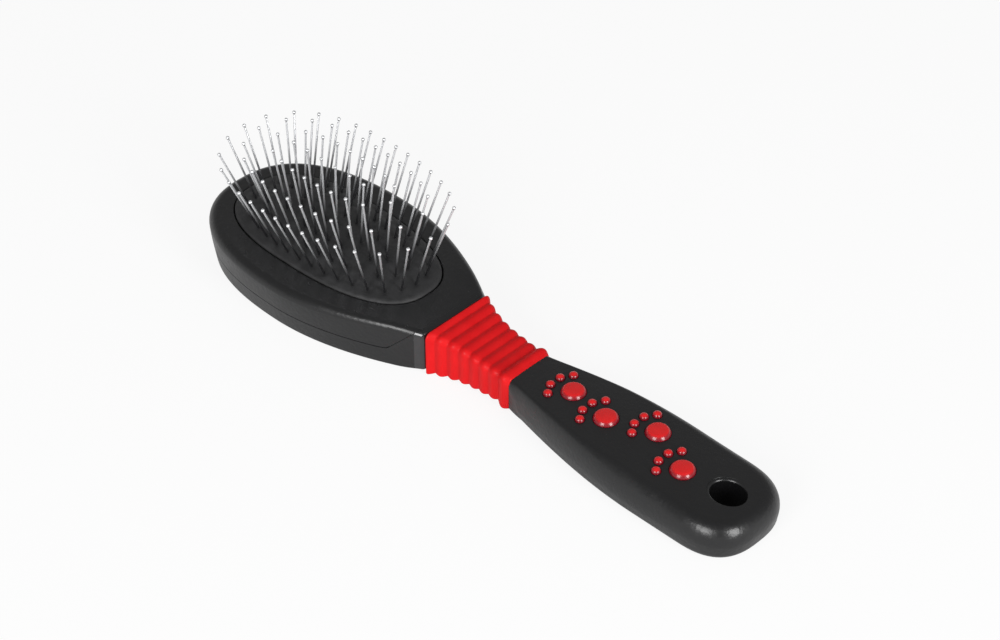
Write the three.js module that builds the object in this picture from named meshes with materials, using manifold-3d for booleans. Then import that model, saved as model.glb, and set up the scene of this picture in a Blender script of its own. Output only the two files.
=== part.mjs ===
// Steel pin brush for grooming dogs and cats: a black moulded handle and head tray, a head frame that
// clamps a domed rubber cushion, ball-tipped steel pins, a ribbed red neck sleeve and red paw buttons.
// Millimetres, +Z up. The brush lies on its flat back with the pins up. +X runs from the head's tip to
// the handle's end. Stations along the brush are measured from just before the head's tip and moved to
// the middle of the brush by the outer group.

import * as THREE from 'three';
import { mergeVertices } from 'three/addons/utils/BufferGeometryUtils.js';
import Module from 'manifold-3d';

const wasm = await Module();
wasm.setup();

// ---------------------------------------------------------------- driving dimensions

const HEAD_TIP = 1.0;           // station of the head's tip
const BRUSH_END = 206.6;        // station of the handle's end
const FIT_GAP = 0.3;            // clearance between pieces that meet
const SLEEVE_GAP = 0.1;         // clearance at the sleeve's head end
const CLEAR_OF_BRUSH = 60;      // cutting blocks reach this far past the brush on every side

// plan outline, as half-widths at stations
const HEAD_HALF_WIDTH = 27.8;
const HEAD_WIDEST_AT = 45;
const HEAD_TIP_BLUNTNESS = 2.4;
const NECK_START = 93.6;
const NECK_START_HALF = 12.3;
const NECK_START_SLOPE = -0.54;
const NECK_WAIST_AT = 111.5;
const NECK_WAIST_HALF = 8.2;
const NECK_END = 122.4;
const NECK_END_HALF = 8.6;
const NECK_END_SLOPE = 0.25;
const HANDLE_WIDEST_AT = 174;
const HANDLE_HALF_WIDTH = 15.8;
const HANDLE_END_FROM = 189.5;
const HANDLE_END_BLUNTNESS = 2.7;

// side profile: heights and slopes of the top and of the back at stations
const HEAD_THICKNESS = 15.0;
const TOP_KNOTS = [
  { at: 82, value: HEAD_THICKNESS, slope: 0 },
  { at: 93.6, value: 13.8, slope: -0.12 },
  { at: 108, value: 11.9, slope: -0.09 },
  { at: 118, value: 11.4, slope: 0 },
  { at: 150, value: 12.3, slope: 0.01 },
  { at: BRUSH_END, value: 11.1, slope: -0.03 },
];
const BACK_KNOTS = [
  { at: 86, value: 0, slope: 0 },
  { at: 95, value: 0.75, slope: 0.03 },
  { at: 119, value: 1.8, slope: 0 },
  { at: 127, value: 0, slope: 0 },
];

// wall shape: bottom corner, then an upper quarter that leans in by as much as the shoulder
const HEAD_BOTTOM_TUCK = 1.2;
const HEAD_BOTTOM_RADIUS = 0.9;
const HEAD_SHOULDER = 3.0;
const NECK_SHOULDER = 1.8;
const HANDLE_BOTTOM_TUCK = 0.3;
const HANDLE_BOTTOM_RADIUS = 2.4;
const HANDLE_WIDEST_HEIGHT = 4.0;
const SHOULDER_KNOTS = [        // how far the handle's wall leans in from its widest line to the top
  { at: NECK_END, value: 2.4, slope: 0.01 },
  { at: 145, value: 2.9, slope: 0.04 },
  { at: 178, value: 4.7, slope: 0 },
  { at: BRUSH_END, value: 2.7, slope: 0 },
];

// parting between the head tray and the head frame
const PARTING_HEIGHT = 5.6;
const PARTING_RAMP_FROM = 82.9;
const PARTING_RAMP_TO = 92.2;   // where the ramp would reach the head's full thickness
const FRAME_WALL = 2.8;
const POCKET_END = 81.0;

// cushion and its opening: ovals named by their half-width at the widest station
const OPENING_HALF = 18.75;
const CUSHION_HALF = 18.4;
const CUSHION_MIDDLE = 40.4;
const CUSHION_TO_TIP = 32.2;
const CUSHION_TO_NECK = 41.6;
const OVAL_TAPER_TO_NECK = 1.22; // the ovals close in this much faster at the neck end
const PIN_OVAL_DROP = { toTip: 2.5, toNeck: 1.8, within: 3.3 }; // extra step at the ends, near the rim
const CUSHION_BLUNTNESS = 2.5;
const DOME_RADIUS = 36;
const DOME_EDGE_HEIGHT = 14.1;
const RUBBER_THICKNESS = 1.9;
const DOME_ZONES = [16.8, 12.8, 7.4, 1.9];  // ovals just outside each group of pins, on the rubber's face
const DOME_ZONES_BELOW = [16.25, 12.6, 7.2, 1.9]; // and on its underside
const FLANGE_HALF = 20.6;
const FLANGE_BOTTOM = 10.0;
const FLANGE_TOP = 11.5;
const CUSHION_INNER_HALF = 16.9;
const WELL_HALF = 17.0;          // the air space in the tray
const WELL_FLOOR = 2.6;

// pins
const PIN_REACH = 22.3;         // from the rubber to the top of the ball
const PIN_RADIUS = 0.4;
const BALL_RADIUS = 0.66;
const PIN_ROOT = 3.3;           // how deep a pin goes below the dome's surface
const PIN_HOLE_RADIUS = 1.0;    // to the corners of a four-sided hole
const PIN_SIDES = 4;
const PIN_LEAN_RADIUS = 40;     // pins fan out from a point this far below the dome's rim
const PIN_FIELD_SHIFT = 0.8;    // the pins' ovals sit this much nearer to the handle than the cushion
const BACKING_THICKNESS = 1.0;
const BACKING_GAP = 1.0;        // clears the flat facets of the dome's underside
const PIN_RINGS = [
  { name: 'pin_ring_outer', half: 15.4, count: 32, backing: [16.3, 12.9] },
  { name: 'pin_ring_second', half: 11.2, count: 25, backing: [12.5, 8.4] },
  { name: 'pin_ring_third', half: 5.8, count: 18, backing: [8.0, 3.5] },
];
const PIN_ROW = { name: 'pin_row_centre', from: 30, to: 55, count: 6, backingHalf: 3.1 };
const PIN_ROW_FAN = 0.1;        // lean in radians of the last pin at each end of the centre row

// ribbed sleeve
const RIB_COUNT = 8;
const RIB_HEIGHT = 0.65;
const BEAD_WIDTH = 1.25;        // the last rib is a bead, this many ribs wide
const BEAD_HEIGHT = 1.15;
const SLEEVE_START_PHASE = 0.35; // the first rib is cut square at this share of its width
const SLEEVE_INNER_OFFSET = -1.5;
const NECK_CORE_OFFSET = -1.85;

// hang hole
const HOLE_AT = 194.8;
const HOLE_HALF_LENGTH = 5.3;
const HOLE_HALF_WIDTH = 4.5;
const HOLE_EDGE = 0.6;

// paw prints: pad centres as [station, across]
const PAW_CENTRES = [[138.7, 0.4], [152.6, -1.7], [166.5, 3.9], [180.8, -2.4]];
const PAW_PAD_RADIUS = 3.65;
const PAW_PAD_RISE = 1.35;
const TOE_RADIUS = 1.42;
const TOE_RISE = 1.2;
const TOE_DISTANCE = 7.1;
const TOE_ANGLES = [47, 16, -16, -47];  // degrees either side of the direction to the head
const BUTTON_DEPTH = 0.7;
const PAD_SIDES = 16;
const TOE_SIDES = 8;

// ---------------------------------------------------------------- small maths

const smoothstep = (from, to, value) => {
  const t = Math.min(1, Math.max(0, (value - from) / (to - from)));
  return t * t * (3 - 2 * t);
};

const blend = (a, b, t) => a + (b - a) * t;

function hermite(from, to, station) {
  const span = to.at - from.at;
  const t = (station - from.at) / span;
  const t2 = t * t;
  const t3 = t2 * t;
  return (2 * t3 - 3 * t2 + 1) * from.value + (t3 - 2 * t2 + t) * span * from.slope
    + (3 * t2 - 2 * t3) * to.value + (t3 - t2) * span * to.slope;
}

// A smooth curve through knots, level before the first and after the last.
function through(knots, station) {
  if (station <= knots[0].at) return knots[0].value;
  const next = knots.findIndex((knot) => station <= knot.at);
  return next < 0 ? knots[knots.length - 1].value : hermite(knots[next - 1], knots[next], station);
}

const superRadius = (u, n) => Math.pow(Math.max(0, 1 - Math.pow(Math.abs(u), n)), 1 / n);

// ---------------------------------------------------------------- plan outline and side profile

const OUTLINE_KNOTS = [
  { at: HEAD_WIDEST_AT, value: HEAD_HALF_WIDTH, slope: 0 },
  { at: NECK_START, value: NECK_START_HALF, slope: NECK_START_SLOPE },
  { at: NECK_WAIST_AT, value: NECK_WAIST_HALF, slope: 0 },
  { at: NECK_END, value: NECK_END_HALF, slope: NECK_END_SLOPE },
  { at: HANDLE_WIDEST_AT, value: HANDLE_HALF_WIDTH, slope: 0 },
];

function halfWidth(station) {
  if (station <= HEAD_WIDEST_AT) {
    const short = Math.min(1, (HEAD_WIDEST_AT - station) / (HEAD_WIDEST_AT - HEAD_TIP));
    return HEAD_HALF_WIDTH * superRadius(short, HEAD_TIP_BLUNTNESS);
  }
  if (station <= HANDLE_WIDEST_AT) return through(OUTLINE_KNOTS, station);
  const past = Math.min(1, Math.max(0, (station - HANDLE_END_FROM) / (BRUSH_END - HANDLE_END_FROM)));
  return HANDLE_HALF_WIDTH * superRadius(past, HANDLE_END_BLUNTNESS);
}

const topHeight = (station) => through(TOP_KNOTS, station);

const bottomHeight = (station) => through(BACK_KNOTS, station);

// The wall at a station, from the flat back up to the flat top, as steps in from the widest line.
function wallProfile(station) {
  const top = topHeight(station);
  const bottom = bottomHeight(station);
  const towardHandle = smoothstep(NECK_END - 2, NECK_END + 6, station);
  const tuck = blend(HEAD_BOTTOM_TUCK, HANDLE_BOTTOM_TUCK, smoothstep(HEAD_WIDEST_AT, NECK_START, station));
  const radius = blend(HEAD_BOTTOM_RADIUS, HANDLE_BOTTOM_RADIUS, towardHandle);
  const round = blend(HEAD_SHOULDER, NECK_SHOULDER, smoothstep(HEAD_WIDEST_AT, NECK_START, station));
  const inward = blend(round, through(SHOULDER_KNOTS, station), towardHandle);
  const down = blend(round, top - HANDLE_WIDEST_HEIGHT, towardHandle);
  const eighth = Math.PI / 4;
  const profile = [
    { inset: tuck + radius, height: bottom },
    { inset: tuck + radius * (1 - Math.sin(eighth)), height: bottom + radius * (1 - Math.cos(eighth)) },
    { inset: tuck, height: bottom + radius },
  ];
  const upperSteps = 5;
  for (let i = 0; i <= upperSteps; i += 1) {
    const angle = (i / upperSteps) * Math.PI / 2;
    profile.push({ inset: inward * (1 - Math.cos(angle)), height: top - down * (1 - Math.sin(angle)) });
  }
  return profile;
}

// Stations down one side of the brush, close together where the outline turns.
function outlineStations() {
  const stations = [];
  const tipSteps = 11;
  for (let i = 0; i <= tipSteps; i += 1) {
    const angle = (i / tipSteps) * Math.PI / 2;
    const reach = HEAD_WIDEST_AT - HEAD_TIP;
    stations.push(HEAD_WIDEST_AT - reach * Math.pow(Math.cos(angle), 2 / HEAD_TIP_BLUNTNESS));
  }
  const sideSteps = 24;
  for (let i = 1; i <= sideSteps; i += 1) {
    stations.push(blend(HEAD_WIDEST_AT, HANDLE_END_FROM, i / sideSteps));
  }
  const endSteps = 9;
  for (let i = 1; i <= endSteps; i += 1) {
    const angle = (i / endSteps) * Math.PI / 2;
    const reach = BRUSH_END - HANDLE_END_FROM;
    stations.push(HANDLE_END_FROM + reach * Math.pow(Math.sin(angle), 2 / HANDLE_END_BLUNTNESS));
  }
  return stations;
}

// The whole outline as points with outward normals: tip, far side, end, near side.
function planOutline() {
  const far = outlineStations().map((station) => new THREE.Vector2(station, halfWidth(station)));
  far[0].y = 0;
  far[far.length - 1].y = 0;
  const near = far.slice(1, -1).reverse().map((point) => new THREE.Vector2(point.x, -point.y));
  const points = [...far, ...near];
  return points.map((point, i) => {
    const before = points[(i + points.length - 1) % points.length];
    const after = points[(i + 1) % points.length];
    const along = after.clone().sub(before).normalize();
    return { point, normal: new THREE.Vector2(-along.y, along.x) };
  });
}

const OUTLINE = planOutline();

// ---------------------------------------------------------------- meshes and solids

function meshGeometry(points, triangles) {
  const geometry = new THREE.BufferGeometry();
  geometry.setAttribute('position', new THREE.Float32BufferAttribute(points.flatMap((p) => [p.x, p.y, p.z]), 3));
  geometry.setIndex(triangles.flat());
  return geometry;
}

function signedVolume(geometry) {
  const position = geometry.getAttribute('position');
  const index = geometry.getIndex();
  const corners = [new THREE.Vector3(), new THREE.Vector3(), new THREE.Vector3()];
  let volume = 0;
  for (let i = 0; i < index.count; i += 3) {
    corners.forEach((corner, k) => corner.fromBufferAttribute(position, index.getX(i + k)));
    volume += corners[0].dot(corners[1].clone().cross(corners[2])) / 6;
  }
  return volume;
}

function faceOutward(geometry) {
  if (signedVolume(geometry) >= 0) return geometry;
  const flipped = Array.from(geometry.getIndex().array);
  for (let i = 0; i < flipped.length; i += 3) [flipped[i], flipped[i + 1]] = [flipped[i + 1], flipped[i]];
  geometry.setIndex(flipped);
  return geometry;
}

// Quads between rings of equal count; the caps pair each point with its mirror across the middle.
function skinRings(rings, { closed = false } = {}) {
  const count = rings[0].length;
  const points = rings.flat();
  const triangles = [];
  const last = closed ? rings.length : rings.length - 1;
  for (let r = 0; r < last; r += 1) {
    const low = r * count;
    const high = ((r + 1) % rings.length) * count;
    for (let i = 0; i < count; i += 1) {
      const next = (i + 1) % count;
      triangles.push([low + i, low + next, high + next], [low + i, high + next, high + i]);
    }
  }
  if (!closed) {
    triangles.push(...pairedCap(count, 0, true));
    triangles.push(...pairedCap(count, (rings.length - 1) * count, false));
  }
  return faceOutward(meshGeometry(points, triangles));
}

function pairedCap(count, start, reversed) {
  const triangles = [];
  const half = count / 2;
  for (let i = 0; i < half; i += 1) {
    const a = start + i;
    const b = start + i + 1;
    const c = start + ((count - i - 1) % count);
    const d = start + ((count - i) % count);
    if (i > 0) triangles.push([a, c, d]);
    if (i < half - 1) triangles.push([a, b, c]);
  }
  return reversed ? triangles.map(([p, q, r]) => [p, r, q]) : triangles;
}

function toSolid(geometry) {
  const bare = geometry.clone();
  bare.deleteAttribute('normal');
  bare.deleteAttribute('uv');
  const welded = mergeVertices(bare, 1e-4);
  return new wasm.Manifold(new wasm.Mesh({
    numProp: 3,
    vertProperties: new Float32Array(welded.getAttribute('position').array),
    triVerts: new Uint32Array(welded.getIndex().array),
  }));
}

function toGeometry(solid) {
  const mesh = solid.getMesh();
  const geometry = new THREE.BufferGeometry();
  const positions = new Float32Array(mesh.numVert * 3);
  for (let i = 0; i < mesh.numVert; i += 1) {
    for (let k = 0; k < 3; k += 1) positions[i * 3 + k] = mesh.vertProperties[i * mesh.numProp + k];
  }
  geometry.setAttribute('position', new THREE.BufferAttribute(positions, 3));
  geometry.setIndex(Array.from(mesh.triVerts));
  return geometry;
}

const union = (solids) => solids.reduce((whole, solid) => whole.add(solid));

function block(stationFrom, stationTo, low, high) {
  const box = new THREE.BoxGeometry(stationTo - stationFrom, 2 * CLEAR_OF_BRUSH, high - low);
  box.translate((stationFrom + stationTo) / 2, 0, (low + high) / 2);
  return toSolid(box);
}

function extrudeUp(points, low, high) {
  const geometry = new THREE.ExtrudeGeometry(new THREE.Shape(points), { depth: high - low, bevelEnabled: false });
  geometry.translate(0, 0, low);
  return toSolid(geometry);
}

// ---------------------------------------------------------------- outer form of the black mouldings

// The brush's outer skin, grown or shrunk all round by an offset.
function outerForm(offset = 0) {
  const levels = wallProfile(0).length;
  const rings = Array.from({ length: levels }, () => []);
  OUTLINE.forEach(({ point, normal }) => {
    const middle = (topHeight(point.x) + bottomHeight(point.x)) / 2;
    wallProfile(point.x).forEach(({ inset, height }, level) => {
      const half = topHeight(point.x) - middle;
      const z = middle + (height - middle) * (1 + offset / half);
      const moved = point.clone().addScaledVector(normal, offset - inset);
      rings[level].push(new THREE.Vector3(moved.x, moved.y, z));
    });
  });
  return toSolid(skinRings(rings));
}

// A vertical-walled block with the brush's outline, stepped in.
function insetBlock(step, low, high) {
  const points = OUTLINE.map(({ point, normal }) => point.clone().addScaledVector(normal, -step));
  return extrudeUp(points, low, high);
}

// Everything above the parting line, which ramps up to the top just before the sleeve.
function aboveParting(gap) {
  const low = PARTING_HEIGHT + gap;
  const slope = (HEAD_THICKNESS - PARTING_HEIGHT) / (PARTING_RAMP_TO - PARTING_RAMP_FROM);
  const shape = new THREE.Shape([
    new THREE.Vector2(-CLEAR_OF_BRUSH, low),
    new THREE.Vector2(PARTING_RAMP_FROM, low),
    new THREE.Vector2(PARTING_RAMP_FROM + CLEAR_OF_BRUSH / slope, low + CLEAR_OF_BRUSH),
    new THREE.Vector2(-CLEAR_OF_BRUSH, low + CLEAR_OF_BRUSH),
  ]);
  const geometry = new THREE.ExtrudeGeometry(shape, { depth: 2 * CLEAR_OF_BRUSH, bevelEnabled: false });
  geometry.rotateX(Math.PI / 2);
  geometry.translate(0, CLEAR_OF_BRUSH, 0);
  return toSolid(geometry);
}

// ---------------------------------------------------------------- ovals of the cushion

const OVAL_POINTS = 28;

function ovalPoint(half, angle) {
  const step = CUSHION_HALF - half;
  const drop = Math.min(1, Math.max(0, step / PIN_OVAL_DROP.within));
  const toTip = Math.max(0, CUSHION_TO_TIP - step - drop * PIN_OVAL_DROP.toTip);
  const toNeck = Math.max(0, CUSHION_TO_NECK - step * OVAL_TAPER_TO_NECK - drop * PIN_OVAL_DROP.toNeck);
  const power = 2 / blend(2, CUSHION_BLUNTNESS, Math.min(1, half / CUSHION_HALF));
  const c = Math.cos(angle);
  const s = Math.sin(angle);
  const along = Math.pow(Math.abs(c), power);
  const across = Math.pow(Math.abs(s), power) * Math.sign(s);
  return new THREE.Vector2(CUSHION_MIDDLE + (c > 0 ? -toTip : toNeck) * along, half * across);
}

function oval(half, count = OVAL_POINTS) {
  return Array.from({ length: count }, (_, i) => ovalPoint(half, (i / count) * 2 * Math.PI));
}

const ovalRing = (half, height) => oval(half).map((p) => new THREE.Vector3(p.x, p.y, height));

function domeHeight(half) {
  const rise = Math.sqrt(DOME_RADIUS ** 2 - half ** 2) - Math.sqrt(DOME_RADIUS ** 2 - CUSHION_HALF ** 2);
  return DOME_EDGE_HEIGHT + rise;
}

// ---------------------------------------------------------------- pins

// Equal steps along an oval, from the point nearest the head's tip, with the oval's outward normal.
function pinPlaces(half, count) {
  const fine = 1440;
  const walk = oval(half, fine);
  const reach = [0];
  for (let i = 1; i <= fine; i += 1) {
    reach.push(reach[i - 1] + walk[i % fine].distanceTo(walk[i - 1]));
  }
  return Array.from({ length: count }, (_, pin) => {
    const target = (pin / count) * reach[fine];
    const i = reach.findIndex((length) => length >= target);
    const along = walk[(i + 4) % fine].clone().sub(walk[(i + fine - 4) % fine]).normalize();
    const outward = new THREE.Vector2(-along.y, along.x);
    const place = walk[i % fine].clone();
    if (outward.dot(place.clone().sub(new THREE.Vector2(CUSHION_MIDDLE, 0))) < 0) outward.negate();
    return { at: place.add(new THREE.Vector2(PIN_FIELD_SHIFT, 0)), outward };
  });
}

function leaningPin(at, height, outward, lean) {
  const axis = new THREE.Vector3(outward.x * Math.sin(lean), outward.y * Math.sin(lean), Math.cos(lean));
  return { foot: new THREE.Vector3(at.x, at.y, height), axis };
}

function ringPins({ half, count }) {
  const lean = Math.asin(half / PIN_LEAN_RADIUS);
  return pinPlaces(half, count).map(({ at, outward }) => leaningPin(at, domeHeight(half), outward, lean));
}

function rowPins() {
  return Array.from({ length: PIN_ROW.count }, (_, i) => {
    const share = i / (PIN_ROW.count - 1);
    const at = new THREE.Vector2(blend(PIN_ROW.from, PIN_ROW.to, share), 0);
    return leaningPin(at, domeHeight(0), new THREE.Vector2(1, 0), (2 * share - 1) * PIN_ROW_FAN);
  });
}

function alongPin(geometry, { foot, axis }) {
  geometry.rotateX(Math.PI / 2);
  geometry.applyQuaternion(new THREE.Quaternion().setFromUnitVectors(new THREE.Vector3(0, 0, 1), axis));
  geometry.translate(foot.x, foot.y, foot.z);
  return geometry;
}

function pinSolid(pin) {
  const profile = [
    [0, -PIN_ROOT],
    [PIN_RADIUS, -PIN_ROOT],
    [PIN_RADIUS, PIN_REACH - 2 * BALL_RADIUS],
    [BALL_RADIUS, PIN_REACH - 1.35 * BALL_RADIUS],
    [BALL_RADIUS * 0.85, PIN_REACH - 0.4 * BALL_RADIUS],
    [0, PIN_REACH],
  ].map(([radius, height]) => new THREE.Vector2(radius, height));
  return toSolid(alongPin(new THREE.LatheGeometry(profile, PIN_SIDES), pin));
}

// The layer under the rubber that holds the pins' feet: a strip between two ovals.
function backingStrip([outer, inner]) {
  const top = (half) => domeHeight(half) - RUBBER_THICKNESS - BACKING_GAP;
  const bottom = (half) => top(half) - BACKING_THICKNESS;
  const middle = (outer + inner) / 2;
  return toSolid(skinRings([
    ovalRing(outer, bottom(outer)),
    ovalRing(outer, top(outer)),
    ovalRing(middle, top(middle)),
    ovalRing(inner, top(inner)),
    ovalRing(inner, bottom(inner)),
    ovalRing(middle, bottom(middle)),
  ], { closed: true }));
}

function backingTongue(half) {
  const top = domeHeight(half) - RUBBER_THICKNESS - BACKING_GAP;
  return extrudeUp(oval(half), top - BACKING_THICKNESS, top);
}

// ---------------------------------------------------------------- cushion

// A pin's hole through the rubber, as corners round the pin at a depth straight below the dome.
function holeCorners({ foot, axis }, depth) {
  const turn = new THREE.Quaternion().setFromUnitVectors(new THREE.Vector3(0, 0, 1), axis);
  return Array.from({ length: PIN_SIDES }, (_, i) => {
    const angle = ((i + 0.5) / PIN_SIDES) * 2 * Math.PI;
    const corner = new THREE.Vector3(Math.cos(angle), Math.sin(angle), 0).multiplyScalar(PIN_HOLE_RADIUS);
    corner.z = -depth * axis.z;
    return corner.applyQuaternion(turn).add(foot);
  });
}

// Triangles from each ring of points to the next.
function wallBetween(rings) {
  return rings.slice(1).flatMap((low, r) => low.flatMap((_, i) => {
    const high = rings[r];
    const next = (i + 1) % low.length;
    return [[high[i], high[next], low[next]], [high[i], low[next], low[i]]];
  }));
}

// A face of the dome inside an oval, with the next oval's inside and the pins' holes left open.
function faceWithHoles(contour, holes, upward) {
  const flat = (ring) => ring.map((p) => new THREE.Vector2(p.x, p.y));
  const points = [contour, ...holes].flat();
  return THREE.ShapeUtils.triangulateShape(flat(contour), holes.map(flat)).map((corners) => {
    const [a, b, c] = corners.map((corner) => points[corner]);
    const turning = (b.x - a.x) * (c.y - a.y) - (b.y - a.y) * (c.x - a.x);
    return turning > 0 === upward ? [a, b, c] : [a, c, b];
  });
}

// One side of the dome: each zone lies between two ovals and holds one group of pins.
function domeFace(halves, groups, depth, upward) {
  const rings = halves.map((half) => ovalRing(half, domeHeight(half) - depth));
  return rings.flatMap((ring, zone) => {
    const within = rings.slice(zone + 1, zone + 2);
    const pins = zone > 0 ? groups[zone - 1] : [];
    return faceWithHoles(ring, [...within, ...pins.map((pin) => holeCorners(pin, depth))], upward);
  });
}

function cushion(groups) {
  const triangles = [
    ...domeFace([CUSHION_HALF, ...DOME_ZONES], groups, 0, true),
    ...domeFace([CUSHION_INNER_HALF, ...DOME_ZONES_BELOW], groups, RUBBER_THICKNESS, false),
    ...groups.flat().flatMap((pin) => wallBetween([holeCorners(pin, 0), holeCorners(pin, RUBBER_THICKNESS)])),
    ...wallBetween([
      ovalRing(CUSHION_HALF, domeHeight(CUSHION_HALF)),
      ovalRing(CUSHION_HALF, FLANGE_TOP),
      ovalRing(FLANGE_HALF, FLANGE_TOP),
      ovalRing(FLANGE_HALF, FLANGE_BOTTOM),
      ovalRing(CUSHION_INNER_HALF, FLANGE_BOTTOM),
      ovalRing(CUSHION_INNER_HALF, domeHeight(CUSHION_INNER_HALF) - RUBBER_THICKNESS),
    ]),
  ];
  return toSolid(meshGeometry(triangles.flat(), triangles.map((_, i) => [3 * i, 3 * i + 1, 3 * i + 2])));
}

// ---------------------------------------------------------------- head frame and handle body

function headFrame(form) {
  const inside = insetBlock(FRAME_WALL, -FIT_GAP, FLANGE_BOTTOM);
  const pocket = inside.intersect(block(-CLEAR_OF_BRUSH, POCKET_END, -CLEAR_OF_BRUSH, CLEAR_OF_BRUSH));
  const flangeSeat = extrudeUp(oval(FLANGE_HALF + FIT_GAP), FLANGE_BOTTOM - FIT_GAP, FLANGE_TOP + FIT_GAP);
  const opening = extrudeUp(oval(OPENING_HALF), 0, CLEAR_OF_BRUSH);
  return form.intersect(aboveParting(FIT_GAP)).subtract(pocket).subtract(flangeSeat).subtract(opening);
}

function hangHole() {
  const sides = 28;
  const ellipse = (grow, height) => Array.from({ length: sides }, (_, i) => {
    const angle = (i / sides) * 2 * Math.PI;
    return new THREE.Vector3(
      HOLE_AT - (HOLE_HALF_LENGTH + grow) * Math.cos(angle),
      (HOLE_HALF_WIDTH + grow) * Math.sin(angle),
      height,
    );
  });
  const top = topHeight(HOLE_AT);
  const halfway = HOLE_EDGE * (1 - Math.SQRT1_2); // the middle of the rounded edge
  return toSolid(skinRings([
    ellipse(HOLE_EDGE + 1, -1),
    ellipse(halfway, halfway),
    ellipse(0, HOLE_EDGE),
    ellipse(0, top - HOLE_EDGE),
    ellipse(halfway, top - halfway),
    ellipse(HOLE_EDGE + 1, top + 1),
  ]));
}

function buttonRecess({ x, y, radius, sides }) {
  const depth = BUTTON_DEPTH + FIT_GAP;
  const reach = depth + 3;
  const recess = new THREE.CylinderGeometry(radius + FIT_GAP, radius + FIT_GAP, reach, sides);
  recess.rotateX(Math.PI / 2);
  recess.translate(x, y, topHeight(x) - depth + reach / 2);
  return toSolid(recess);
}

// The brush's skin or another solid, cut off square at two stations.
function between(solid, from, to) {
  return solid.intersect(block(from, to, -CLEAR_OF_BRUSH, CLEAR_OF_BRUSH));
}

function handleBody(form, buttons) {
  const tray = between(form.subtract(aboveParting(0)), -CLEAR_OF_BRUSH, NECK_START);
  const raised = insetBlock(FRAME_WALL + FIT_GAP, WELL_FLOOR, FLANGE_BOTTOM - FIT_GAP);
  const plug = between(raised, -CLEAR_OF_BRUSH, POCKET_END - FIT_GAP);
  const well = extrudeUp(oval(WELL_HALF), WELL_FLOOR, CLEAR_OF_BRUSH);
  const core = between(outerForm(NECK_CORE_OFFSET), NECK_START - FRAME_WALL, NECK_END + FRAME_WALL);
  const handle = between(form, NECK_END, BRUSH_END + CLEAR_OF_BRUSH);
  const body = union([tray, plug, core, handle]).subtract(well).subtract(hangHole());
  return body.subtract(union(buttons.map(buttonRecess)));
}

// ---------------------------------------------------------------- ribbed sleeve

// A cross-section of the neck at a station, grown by an offset: far side up, near side down.
function neckSection(station, offset) {
  const step = 0.5;
  const slope = (halfWidth(station + step) - halfWidth(station - step)) / (2 * step);
  const steepness = Math.sqrt(1 + slope * slope);
  const top = topHeight(station);
  const middle = (top + bottomHeight(station)) / 2;
  const far = wallProfile(station).map(({ inset, height }) => new THREE.Vector3(
    station,
    halfWidth(station) + (offset - inset) * steepness,
    middle + (height - middle) * (1 + offset / (top - middle)),
  ));
  const near = far.map((point) => new THREE.Vector3(point.x, -point.y, point.z)).reverse();
  return [...far, ...near];
}

// The sleeve's outer skin as [share of its length, height]: equal ribs, then the bead.
function ribSteps() {
  const widths = Array.from({ length: RIB_COUNT }, (_, rib) => (rib === RIB_COUNT - 1 ? BEAD_WIDTH : 1));
  const whole = RIB_COUNT - 1 + BEAD_WIDTH - SLEEVE_START_PHASE;
  const perRib = 4;
  const steps = [];
  let start = -SLEEVE_START_PHASE;
  widths.forEach((width, rib) => {
    const height = rib === RIB_COUNT - 1 ? BEAD_HEIGHT : RIB_HEIGHT;
    for (let i = 0; i < perRib; i += 1) {
      const within = rib === 0 ? blend(SLEEVE_START_PHASE, 1, i / perRib) : i / perRib;
      steps.push([(start + within * width) / whole, height * Math.pow(Math.sin(Math.PI * within), 0.75)]);
    }
    start += width;
  });
  return [...steps, [1, 0]];
}

function neckSleeve() {
  const from = NECK_START + SLEEVE_GAP;
  const to = NECK_END - SLEEVE_GAP;
  const outer = ribSteps().map(([share, height]) => neckSection(blend(from, to, share), height));
  const innerSteps = 8;
  const inner = [];
  for (let i = innerSteps; i >= 0; i -= 1) {
    inner.push(neckSection(blend(from, to, i / innerSteps), SLEEVE_INNER_OFFSET));
  }
  return toSolid(skinRings([...outer, ...inner], { closed: true }));
}

// ---------------------------------------------------------------- paw buttons

function pawButtons() {
  const buttons = [];
  PAW_CENTRES.forEach(([station, across], paw) => {
    buttons.push({ name: `paw_${paw + 1}_pad`, x: station, y: across, radius: PAW_PAD_RADIUS, sides: PAD_SIDES });
    TOE_ANGLES.forEach((degrees, toe) => {
      const angle = THREE.MathUtils.degToRad(degrees);
      buttons.push({
        name: `paw_${paw + 1}_toe_${toe + 1}`,
        x: station - TOE_DISTANCE * Math.cos(angle),
        y: across + TOE_DISTANCE * Math.sin(angle),
        radius: TOE_RADIUS,
        sides: TOE_SIDES,
      });
    });
  });
  return buttons;
}

function buttonGeometry({ radius, sides }) {
  const padProfile = [
    [0, -BUTTON_DEPTH],
    [radius, -BUTTON_DEPTH],
    [radius, PAW_PAD_RISE * 0.55],
    [radius * 0.93, PAW_PAD_RISE * 0.88],
    [radius * 0.8, PAW_PAD_RISE],
    [0, PAW_PAD_RISE],
  ];
  const toeProfile = [
    [0, -BUTTON_DEPTH],
    [radius, -BUTTON_DEPTH],
    [radius, TOE_RISE * 0.3],
    [radius * 0.72, TOE_RISE * 0.8],
    [0, TOE_RISE],
  ];
  const profile = (sides === PAD_SIDES ? padProfile : toeProfile).map(([r, z]) => new THREE.Vector2(r, z));
  const geometry = new THREE.LatheGeometry(profile, sides);
  geometry.rotateX(Math.PI / 2);
  return geometry;
}

// ---------------------------------------------------------------- materials and the assembly

const moulding = (color, roughness) => new THREE.MeshStandardMaterial({ color, roughness, metalness: 0 });
const blackPlastic = moulding(0x2b2b2c, 0.55);
const blackRubber = moulding(0x222223, 0.8);
const redRubber = moulding(0xd3141c, 0.45);
const redGloss = moulding(0xd0131d, 0.25);
const steel = new THREE.MeshStandardMaterial({ color: 0xc9ccce, roughness: 0.2, metalness: 1 });

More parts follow.
